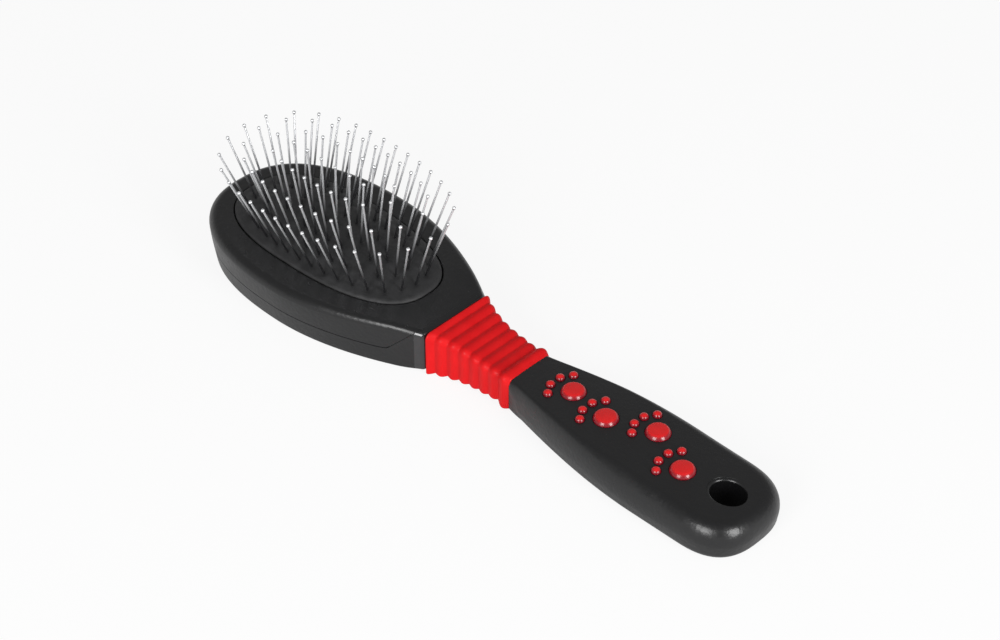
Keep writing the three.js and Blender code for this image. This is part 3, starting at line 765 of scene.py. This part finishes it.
def frame_ring(share, inset=0, lift=0):
    """The head frame's outer wall at a level: from the tip round to the ramp."""
    gap = mix(PARTING_GAP, PARTING_GAP_AT_TOP, smoothstep(PARTING_CLOSES_FROM, 1, share))
    steps = side_points(HEAD_TIP, ramp_end(share) - gap - inset, HEAD_SIDE_STEPS)
    far = [wall_point(p, n, rise(p.x, share) + lift, inset) for p, n in steps]
    return mirrored(far, chord_points(far[-1]))


def oval_point(half, angle):
    """A point of the cushion's outline, or of an oval inside it, by its half-width."""
    step = CUSHION_HALF - half
    drop = min(1, max(0, step / PIN_OVAL_DROP_WITHIN))
    to_tip = max(0, CUSHION_TO_TIP - step - drop * PIN_OVAL_DROP_TO_TIP)
    to_neck = max(0, CUSHION_TO_NECK - step * OVAL_TAPER_TO_NECK - drop * PIN_OVAL_DROP_TO_NECK)
    power = 2 / mix(2, CUSHION_BLUNTNESS, min(1, half / CUSHION_HALF))
    c, s = math.cos(angle), math.sin(angle)
    along = abs(c) ** power
    across = math.copysign(abs(s) ** power, s)
    return Vector((CUSHION_MIDDLE + (-to_tip if c > 0 else to_neck) * along, half * across))


def oval_walk(half):
    return [oval_point(half, angle) for angle in turn_angles(OVAL_STEPS)]


def oval_toward(ring, half, height):
    """The oval's points that lie in the same directions, seen from its middle, as a ring's points."""
    walk = oval_walk(half)
    bearings = [math.atan2(p.y, CUSHION_MIDDLE - p.x) % (2 * math.pi) for p in walk]
    pairs = sorted(zip(bearings, range(OVAL_STEPS)))
    found = []
    for p in ring:
        station = p.x / MM + MIDDLE_STATION
        bearing = math.atan2(p.y / MM, CUSHION_MIDDLE - station) % (2 * math.pi)
        low, high = 0, OVAL_STEPS
        while low < high:
            middle = (low + high) // 2
            low, high = (middle + 1, high) if pairs[middle][0] < bearing else (low, middle)
        after, before = pairs[low % OVAL_STEPS], pairs[low - 1]
        gap = (after[0] - before[0]) % (2 * math.pi)
        t = ((bearing - before[0]) % (2 * math.pi)) / gap if gap > TINY else 0
        spot = walk[before[1]].lerp(walk[after[1]], min(1, t))
        found.append(place(spot.x, spot.y, height))
    return found


def between_rings(a, b, t):
    return [p.lerp(q, t) for p, q in zip(a, b)]


def head_frame():
    outer = [frame_ring(0, FRAME_CHAMFER, PARTING_GAP), frame_ring(0, 0, PARTING_GAP + FRAME_CHAMFER)]
    outer += [frame_ring(share) for share in RISES[1:]]
    rim = outer[-1]
    edge = [oval_toward(rim, OPENING_HALF + grow, HEAD_THICKNESS - drop)
            for grow, drop in quarter_round(OPENING_EDGE_RADIUS, OPENING_EDGE_STEPS)]
    flat = [between_rings(rim, edge[0], t) for t in (0.06, 0.25, 0.5, 0.75, 0.92)]
    inside = oval_toward(rim, OPENING_HALF, FRAME_UNDERSIDE)
    inner_wall = frame_ring(0, FRAME_WALL, PARTING_GAP)
    raised = [Vector((p.x, p.y, FRAME_UNDERSIDE * MM)) for p in inner_wall]
    return loft([*outer, *flat, *edge, inside, raised, inner_wall], closed=True)


def rounded_end(point):
    """Draws a point of the tray's last stretch in, so that its edge at the sleeve is round."""
    station = point.x / MM + MIDDLE_STATION
    past = min(1, max(0, (station - TRAY_END + TRAY_END_RADIUS) / TRAY_END_RADIUS))
    drawn = TRAY_END_RADIUS * (1 - math.sqrt(1 - past * past))
    top, bottom = top_height(station), bottom_height(station)
    middle = (top + bottom) / 2
    height = middle + (point.z / MM - middle) * (1 - drawn / (top - middle))
    return Vector((point.x, max(0, point.y - drawn * MM), height * MM))


def block_steps(start):
    """Steps along the block from a station to its end, close together on the rounded edge."""
    end = TRAY_END - TRAY_END_RADIUS
    break_at = max(POLISHED_FROM, mix(start, end, BLOCK_BREAK_SHARE))
    steps = side_points(start, break_at, BLOCK_STEPS, with_end=False)
    steps += side_points(break_at, end, POLISHED_STEPS, with_end=False)
    for angle in quarter_angles(END_STEPS):
        station = TRAY_END - TRAY_END_RADIUS * (1 - math.sin(angle))
        steps.append(on_walk(run_at(station)))
    return steps


def tray_ring(turn):
    """The head tray's wall: round its bottom corner at turns up to 1, then up to the parting line at 2."""
    steps = side_points(HEAD_TIP, RAMP_START, TRAY_SIDE_STEPS, with_end=False)
    steps += block_steps(RAMP_START)
    far = []
    for p, n in steps:
        corner = bottom_height(p.x) + HEAD_BOTTOM_RADIUS * (1 - math.cos(min(1, turn) * math.pi / 2))
        far.append(rounded_end(wall_point(p, n, mix(corner, parting_height(p.x), max(0, turn - 1)))))
    return mirrored(far, chord_points(far[-1]))


def neck_block_ring(share):
    """The wedge of the tray that rises between the parting ramp and the sleeve."""
    block = [rounded_end(wall_point(p, n, rise(p.x, share))) for p, n in block_steps(ramp_end(share))]
    corner = block[0]
    face = [Vector((corner.x, corner.y * i / TRAY_SIDE_STEPS, corner.z)) for i in range(TRAY_SIDE_STEPS)]
    return mirrored([*face, *block], chord_points(block[-1]))


def onto_middle(ring, t, crown=0):
    """The ring drawn in towards the brush's middle line, at its own heights, with a crown in metres."""
    widest = max(p.y for p in ring)
    moved = []
    for p in ring:
        across = p.y * (1 - t)
        moved.append(Vector((p.x, across, p.z + crown * (p.y ** 2 - across ** 2) / widest ** 2)))
    return moved


def head_tray():
    low = tray_ring(0)
    rings = [onto_middle(low, 1), onto_middle(low, 0.5), low]
    rings += [tray_ring(turn) for turn in (0.25, 0.5, 0.75, 1, 1.33, 1.66, 2)]
    rings += [neck_block_ring(share) for share in RISES]
    last = rings[-1]
    rings += [onto_middle(last, t) for t in (0.06, 0.5, 1)]
    return loft(rings)


def handle_ring(turn):
    """A whole ring of the handle: far side, round its end, near side, back across the cut."""
    steps = side_points(NECK_END, BRUSH_END, HANDLE_SIDE_STEPS)
    far = [wall_point(p, n, wall_height(p.x, turn)) for p, n in steps]
    near = [Vector((p.x, -p.y, p.z)) for p in reversed(far[:-1])]
    return [*far, *near, *chord_points(near[-1])]


def handle_shell(buttons):
    turns = [0.25 * i / CORNER_STEPS for i in range(CORNER_STEPS)]
    turns += [0.25 + 0.25 * i / WALL_STEPS for i in range(WALL_STEPS)]
    turns += [0.5 + 0.5 * i / SHOULDER_STEPS for i in range(SHOULDER_STEPS + 1)]
    rings = [handle_ring(turn) for turn in turns]
    low, high = rings[0], rings[-1]
    crown = HANDLE_CROWN * MM
    rings = [onto_middle(low, 1), onto_middle(low, 0.5), *rings]
    rings += [onto_middle(high, t, crown) for t in (0.05, 0.15, 0.35, 0.55, 0.78, 1)]
    cutters = hang_hole_cutter()
    for _, x, y, radius in buttons:
        add_recess(cutters, x, y, radius + BUTTON_GAP)
    return cut_away(loft(rings), cutters)


def face_height(station, across):
    """The handle's upper face with its crown."""
    half = half_width(station) - wall_shape(station)[2]
    widest = HANDLE_HALF_WIDTH - wall_shape(HANDLE_WIDEST_AT)[2]
    return top_height(station) + HANDLE_CROWN * max(0, half ** 2 - across ** 2) / widest ** 2


def hang_hole_cutter():
    """An oval plug that flares at both faces, so the hole's edges come out rounded."""
    top = face_height(HOLE_AT, HOLE_HALF_WIDTH)
    flare = quarter_round(HOLE_EDGE_RADIUS, HOLE_EDGE_STEPS)
    widest = HOLE_EDGE_RADIUS + PLUG_FLARE
    profile = [(widest, -PLUG_REACH), *flare]
    profile += [(grow, top - depth) for grow, depth in reversed(flare)]
    profile.append((widest, top + PLUG_REACH))
    angles = turn_angles(HOLE_SEGMENTS)
    rings = []
    for grow, height in profile:
        length, width = HOLE_HALF_LENGTH + grow, HOLE_HALF_WIDTH + grow
        rings.append([place(HOLE_AT + length * math.cos(a), width * math.sin(a), height) for a in angles])
    low_end = [place(HOLE_AT, 0, -PLUG_REACH)] * HOLE_SEGMENTS
    high_end = [place(HOLE_AT, 0, top + PLUG_REACH)] * HOLE_SEGMENTS
    return loft([low_end, *rings, high_end])


def in_bore(point):
    """Tells whether a point of the handle lies on the hang hole's inner wall, below its rounded rim."""
    along = (point.x / MM + MIDDLE_STATION - HOLE_AT) / (HOLE_HALF_LENGTH + BORE_TOLERANCE)
    across = point.y / MM / (HOLE_HALF_WIDTH + BORE_TOLERANCE)
    return along ** 2 + across ** 2 < 1


def add_recess(bm, x, y, radius):
    made = bmesh.ops.create_cone(bm, cap_ends=True, segments=RECESS_SEGMENTS, radius1=radius * MM,
                                 radius2=radius * MM, depth=RECESS_CUTTER_HEIGHT * MM)
    height = face_height(x, y) - BUTTON_DEPTH + RECESS_CUTTER_HEIGHT / 2
    bmesh.ops.translate(bm, verts=made["verts"], vec=place(x, y, height))


# ---------------- cushion and pins

def dome_height(half):
    """The CAD dome, which the pins stand on."""
    swell = math.sqrt(DOME_RADIUS ** 2 - half ** 2) - math.sqrt(DOME_RADIUS ** 2 - CUSHION_HALF ** 2)
    return DOME_EDGE_HEIGHT + swell


def rubber_height(half):
    """The rubber's upper face: a dome that turns down in a small round at its edge."""
    swell = CUSHION_TOP_HEIGHT - CUSHION_EDGE_HEIGHT
    radius = (CUSHION_HALF ** 2 + swell ** 2) / (2 * swell)
    dome = CUSHION_EDGE_HEIGHT + math.sqrt(radius ** 2 - half ** 2) - (radius - swell)
    past = max(0, (half - CUSHION_HALF + CUSHION_EDGE_ROUND) / CUSHION_EDGE_ROUND)
    return dome - CUSHION_EDGE_ROUND * (1 - math.sqrt(max(0, 1 - min(1, past) ** 2)))


def pin_places(half, count):
    """Even steps along an oval from the point nearest the head's tip, as (place, outward direction)."""
    walk = oval_walk(half)
    runs = [0]
    for i in range(1, OVAL_STEPS + 1):
        runs.append(runs[-1] + (walk[i % OVAL_STEPS] - walk[i - 1]).length)
    places = []
    for pin in range(count):
        target = pin / count * runs[-1]
        i = next(k for k, run in enumerate(runs) if run >= target)
        here = walk[i % OVAL_STEPS]
        after, before = walk[(i + BEARING_STEPS) % OVAL_STEPS], walk[(i - BEARING_STEPS) % OVAL_STEPS]
        along = (after - before).normalized()
        away = Vector((along.y, -along.x))
        if away.dot(here - Vector((CUSHION_MIDDLE, 0))) < 0:
            away.negate()
        places.append((here + Vector((PIN_FIELD_SHIFT, 0)), away))
    return places


def leaning(at, height, away, lean):
    """A pin's foot and the direction it points in."""
    axis = Vector((away.x * math.sin(lean), away.y * math.sin(lean), math.cos(lean)))
    return place(at.x, at.y, height), axis


def all_pins():
    """The (foot, direction) of every pin, by group."""
    groups = {}
    for name, half, count in PIN_RINGS:
        lean = math.asin(half / PIN_LEAN_RADIUS)
        groups[name] = []
        for at, away in pin_places(half, count):
            here = lean * (1 - PIN_LEAN_LOST_AT_NECK * max(0, away.x) ** 3)
            groups[name].append(leaning(at, dome_height(half), away, here))
    name, start, end, count = PIN_ROW
    groups[name] = []
    for i in range(count):
        share = i / (count - 1)
        at = Vector((mix(start, end, share), 0))
        groups[name].append(leaning(at, dome_height(0), Vector((1, 0)), (2 * share - 1) * PIN_ROW_FAN))
    return groups


def one_pin():
    """A straight wire that swells into a ball at its tip, standing on its foot at the origin."""
    ball = BALL_RADIUS
    centre = PIN_REACH - ball
    start = math.asin(PIN_RADIUS / ball)
    rows = (-PIN_ROOT, 0, centre * 0.5, centre - ball * math.cos(start) - BALL_NECK)
    profile = [(0, -PIN_ROOT), *((PIN_RADIUS, row) for row in rows)]
    for i in range(BALL_STEPS + 1):
        angle = mix(start, math.pi, i / BALL_STEPS)
        profile.append((ball * math.sin(angle) if i < BALL_STEPS else 0, centre - ball * math.cos(angle)))
    return revolved([(r * MM, z * MM) for r, z in profile], PIN_SEGMENTS)


def pin_group(pins):
    bm = bmesh.new()
    single = baked("single_pin", one_pin())
    for foot, axis in pins:
        before = len(bm.verts)
        bm.from_mesh(single)
        bm.verts.ensure_lookup_table()
        turn = Vector((0, 0, 1)).rotation_difference(axis).to_matrix().to_4x4()
        bmesh.ops.transform(bm, matrix=Matrix.Translation(foot) @ turn, verts=bm.verts[before:])
    bpy.data.meshes.remove(single)
    return bm


def cushion(groups):
    """The rubber dome, with a shallow dimple where each pin comes through."""
    angles = turn_angles(CUSHION_AROUND)

    def ring(half, height):
        return [place(*(oval_point(half, angle) + Vector(CUSHION_OFFSET)), height) for angle in angles]

    rings = [ring(half, CUSHION_BOTTOM) for half in (0, 9, CUSHION_HALF)]
    rings += [ring(CUSHION_HALF, z) for z in (12, 12.8)]
    inner = CUSHION_HALF - CUSHION_EDGE_ROUND
    halves = [CUSHION_HALF - CUSHION_EDGE_ROUND * (1 - math.cos(a))
              for a in quarter_angles(CUSHION_EDGE_STEPS)]
    halves += [inner * (1 - i / CUSHION_DOME_STEPS) for i in range(1, CUSHION_DOME_STEPS + 1)]
    rings += [ring(half, rubber_height(half)) for half in halves]
    bm = loft(rings)
    feet = [foot for pins in groups.values() for foot, _ in pins]
    tree = kdtree.KDTree(len(feet))
    for i, foot in enumerate(feet):
        tree.insert(Vector((foot.x, foot.y, 0)), i)
    tree.balance()
    for v in bm.verts:
        if v.co.z < RELIEF_FROM * MM:
            continue
        near = tree.find(Vector((v.co.x, v.co.y, 0)))[2] / MM
        edge = smoothstep(RELIEF_FROM, RELIEF_FULL, v.co.z / MM)
        v.co.z -= DIMPLE_DEPTH * MM * math.exp(-(near / DIMPLE_WIDTH) ** 2) * edge
        v.co.z += UNEVENNESS * MM * noise.noise(v.co / (UNEVENNESS_SPAN * MM)) * edge
    return bm


# ---------------- sleeve

def neck_section(station, grow):
    """A closed cross-section of the neck, grown all round, starting under the middle line."""
    slope = half_width(station + 0.5) - half_width(station - 0.5)
    steep = math.sqrt(1 + slope * slope)
    top, bottom = top_height(station), bottom_height(station)
    middle = (top + bottom) / 2
    wall = []
    for i in range(SECTION_WALL_STEPS + 1):
        height = wall_height(station, i / SECTION_WALL_STEPS)
        inset = wall_inset(station, height)
        wall.append((half_width(station) + (grow - inset) * steep,
                     max(LEAST_HEIGHT, middle + (height - middle) * (1 + grow / (top - middle)))))
    flat = SECTION_FLAT_STEPS
    under = [(wall[0][0] * i / flat, wall[0][1]) for i in range(flat)]
    over = [(wall[-1][0] * (flat - i) / flat, wall[-1][1]) for i in range(1, flat + 1)]
    far = [*under, *wall, *over]
    ring = [place(station, y, z) for y, z in far]
    ring += [place(station, -y, z) for y, z in reversed(far[1:-1])]
    return ring


def rib_profile():
    """(share along the sleeve, height) of the ribs; the first is cut short, the last is a prouder bead."""
    widths = [1] * (RIB_COUNT - 1) + [BEAD_WIDTH]
    whole = sum(widths) - SLEEVE_START_PHASE
    start = -SLEEVE_START_PHASE
    profile = []
    for rib, width in enumerate(widths):
        height = mix(RIB_HEIGHT_AT_HEAD, RIB_HEIGHT_AT_HANDLE, rib / (RIB_COUNT - 2))
        height = BEAD_HEIGHT if rib == RIB_COUNT - 1 else height
        lift = mix(GROOVE_LIFT_AT_HEAD, GROOVE_LIFT_AT_HANDLE, rib / (RIB_COUNT - 1))
        for i in range(RIB_STEPS):
            within = mix(SLEEVE_START_PHASE if rib == 0 else 0, 1, i / RIB_STEPS)
            swell = height * math.sin(math.pi * within) ** RIB_ROUNDNESS
            short = max(0, 1 - i / FIRST_EDGE_STEPS) if rib == 0 else 0
            profile.append(((start + within * width) / whole, (lift + swell) * math.sqrt(1 - short * short)))
        start += width
    profile.append((1, 0))
    return profile


def ribbed_sleeve():
    start, end = NECK_START + SLEEVE_GAP, NECK_END - SLEEVE_END_GAP
    outer = [neck_section(mix(start, end, share), height) for share, height in rib_profile()]
    inner = [neck_section(mix(end, start, i / SLEEVE_INNER_STEPS), SLEEVE_INNER_OFFSET)
             for i in range(SLEEVE_INNER_STEPS + 1)]
    return loft([*outer, *inner], closed=True)


def neck_core():
    start, end = TRAY_END - NECK_CORE_OVERLAP, NECK_END + NECK_CORE_OVERLAP
    rings = [neck_section(mix(start, end, i / NECK_CORE_STEPS), NECK_CORE_OFFSET)
             for i in range(NECK_CORE_STEPS + 1)]
    ends = []
    for ring in (rings[0], rings[-1]):
        centre = sum(ring, Vector()) / len(ring)
        ends.append([centre] * len(ring))
    return loft([ends[0], *rings, ends[1]])


# ---------------- paw buttons

def paw_buttons():
    """(name, x, y, radius) of every button: a pad and four toes for each paw."""
    buttons = []
    for paw, (station, across) in enumerate(PAW_CENTRES, start=1):
        buttons.append((f"paw_{paw}_pad", station, across, PAW_PAD_RADIUS))
        for toe, degrees in enumerate(TOE_ANGLES, start=1):
            angle = math.radians(degrees)
            x, y = station - TOE_DISTANCE * math.cos(angle), across + TOE_DISTANCE * math.sin(angle)
            buttons.append((f"paw_{paw}_toe_{toe}", x, y, TOE_RADIUS))
    return buttons


def button(x, y, radius):
    """A pad with a nearly flat top and a soft chamfer round its rim, or a small domed toe."""
    angles = quarter_angles(BUTTON_STEPS)
    if radius == PAW_PAD_RADIUS:
        inner, edge = radius - PAD_RIM, PAW_PAD_RISE - PAD_CROWN
        profile = [(inner + PAD_RIM * math.cos(a) ** PAD_CHAMFER, edge * math.sin(a) ** PAD_CHAMFER)
                   for a in angles]
        profile += [(inner * (1 - t), PAW_PAD_RISE - PAD_CROWN * (1 - t) ** 2) for t in (0.25, 0.5, 0.75, 1)]
        segments = PAD_SEGMENTS
    else:
        profile = [(radius * math.cos(a), TOE_RISE * math.sin(a) ** TOE_FULLNESS) for a in angles[:-1]]
        profile.append((0, TOE_RISE))
        segments = TOE_SEGMENTS
    profile = [(0, -BUTTON_DEPTH), (radius, -BUTTON_DEPTH), *profile]
    bm = revolved([(r * MM, z * MM) for r, z in profile], segments)
    bmesh.ops.translate(bm, verts=bm.verts, vec=place(x, y, face_height(x, y)))
    return bm


# ---------------- the brush

black = moulded_abs()
rubber = cushion_rubber()
steel = drawn_steel()
red = soft_red()
gloss = glossy_red()

buttons = paw_buttons()
groups = all_pins()

weighted(piece("frame_shell", head_frame(), black, BODY, "head_frame"))
tray = weighted(piece("tray_shell", head_tray(), black, BODY, "handle_body"))
# The block's walls before the sleeve get the polished black, painted lighter as painted reflection.
tray.data.materials.append(polished_abs_painted_light())
for face in tray.data.polygons:
    station = face.center.x / MM + MIDDLE_STATION
    face.material_index = 1 if station > POLISHED_FROM and abs(face.normal.z) < WALL_BELOW else 0
handle = weighted(piece("handle_shell", handle_shell(buttons), black, BODY, "handle_body"))
# The hang hole's inner wall gets the dull black, painted darker as painted shade.
handle.data.materials.append(bore_abs_painted_shade())
for face in handle.data.polygons:
    face.material_index = 1 if in_bore(face.center) else 0
piece("neck_core_shell", neck_core(), black, BODY, "handle_body")
piece("ribbed_sleeve", ribbed_sleeve(), red, BODY, "neck_sleeve", crease=60)

dome = piece("rubber_cushion", cushion(groups), rubber, None, "cushion_pad", crease=60)
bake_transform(dome)

for name, pins in groups.items():
    piece("wires_" + name, pin_group(pins), steel, PINS, name, crease=50)

for name, *at in buttons:
    piece(name + "_button", button(*at), gloss, BODY, name, crease=50)


# ---------------- floor, light and camera
# Sizes and places of the floor and the lights are in metres, powers in watts.

FLOOR_HALF_SIZE = 12
FLOOR_HEIGHT = -0.0002
FLOOR_REFLECTANCE = 0.86
SHINE_SEEN = 0.88  # the share of its own light in what the camera sees of the floor
SHINE_MIRRORED = 0.2  # and in what reflections see of it
GLOW_HEIGHTS = (0.05, 0.35)  # the surroundings darken between these heights of a direction
GLOW_LOW, GLOW_HIGH = 0.8, 0.32


def floor():
    """A matt white floor with some light of its own, so that it stays white round the soft shadow."""
    bm = bmesh.new()
    bmesh.ops.create_grid(bm, x_segments=1, y_segments=1, size=FLOOR_HALF_SIZE)
    mesh = bpy.data.meshes.new("floor")
    bm.to_mesh(mesh)
    bm.free()
    obj = new_object("floor", mesh)
    obj.location.z = FLOOR_HEIGHT
    material, tree = new_material("white_sweep")
    path = add(tree, "LightPath").outputs
    reflected = add(tree, "Math", {0: path["Is Glossy Ray"], 1: path["Is Transmission Ray"]},
                    operation="MAXIMUM").outputs[0]
    mirror_share = add(tree, "Math", {0: reflected, 1: SHINE_MIRRORED}, operation="MULTIPLY").outputs[0]
    share = add(tree, "Math", {0: path["Is Camera Ray"], 1: SHINE_SEEN, 2: mirror_share},
                operation="MULTIPLY_ADD").outputs[0]
    paint = blend_colours(tree, FLOOR_REFLECTANCE, "#000000", WHITE)
    matt = add(tree, "BsdfDiffuse", {"Color": paint})
    white = add(tree, "Emission", {"Color": linear(WHITE), "Strength": 1.0})
    both = add(tree, "MixShader", {0: share, 1: matt.outputs[0], 2: white.outputs[0]})
    add(tree, "OutputMaterial", {"Surface": both.outputs[0]})
    mesh.materials.append(material)


def soft_box(name, where, size, watts):
    """A rectangular light that faces the brush."""
    light = bpy.data.lights.new(name, "AREA")
    light.shape = "RECTANGLE"
    light.size, light.size_y = size
    light.energy = watts
    obj = new_object(name, light)
    obj.location = where
    obj.rotation_euler = (-Vector(where)).to_track_quat("-Z", "Y").to_euler()


def studio():
    """The floor, surroundings that are lighter near the horizon, and the two soft boxes."""
    floor()
    world = bpy.data.worlds.new("studio")
    world.use_nodes = True
    tree = world.node_tree
    height = height_of(tree, add(tree, "TexCoord").outputs["Generated"])
    light = ranged(tree, height, *GLOW_HEIGHTS, GLOW_LOW, GLOW_HIGH)
    tree.nodes["Background"].inputs["Color"].default_value = linear(WHITE)
    tree.links.new(light, tree.nodes["Background"].inputs["Strength"])
    bpy.context.scene.world = world
    soft_box("left_of_camera", (0.25, -1.0, 0.5), (0.5, 0.6), 9)
    soft_box("right_of_camera", (1.0, -0.08, 0.4), (0.35, 0.6), 8.5)


# The camera's angles are in degrees, its distance and target in millimetres of the row frame.
CAMERA_AZIMUTH = 44.31
CAMERA_ELEVATION = 40.70
CAMERA_ROLL = -0.18
CAMERA_DISTANCE = 749.3
CAMERA_TARGET = (4.32, 0, 8)
CAMERA_LENS = 95.8
CAMERA_SHIFT = (0.00725, 0.03385)


def camera():
    data = bpy.data.cameras.new("camera")
    data.sensor_width = 36
    data.lens = CAMERA_LENS
    data.shift_x, data.shift_y = CAMERA_SHIFT
    data.clip_start = 0.01
    az, el, roll = (math.radians(a) for a in (CAMERA_AZIMUTH, CAMERA_ELEVATION, CAMERA_ROLL))
    back = Vector((math.sin(az) * math.cos(el), -math.cos(az) * math.cos(el), math.sin(el)))
    right = Vector((math.cos(az), math.sin(az), 0))
    up = back.cross(right)
    side = right * math.cos(roll) + up * math.sin(roll)
    top = up * math.cos(roll) - right * math.sin(roll)
    obj = new_object("camera", data)
    turn = Matrix((side, top, back)).transposed().to_4x4()
    obj.matrix_world = Matrix.Translation((Vector(CAMERA_TARGET) + back * CAMERA_DISTANCE) * MM) @ turn
    bpy.context.scene.camera = obj


studio()
camera()
bpy.context.scene.view_settings.view_transform = "Standard"
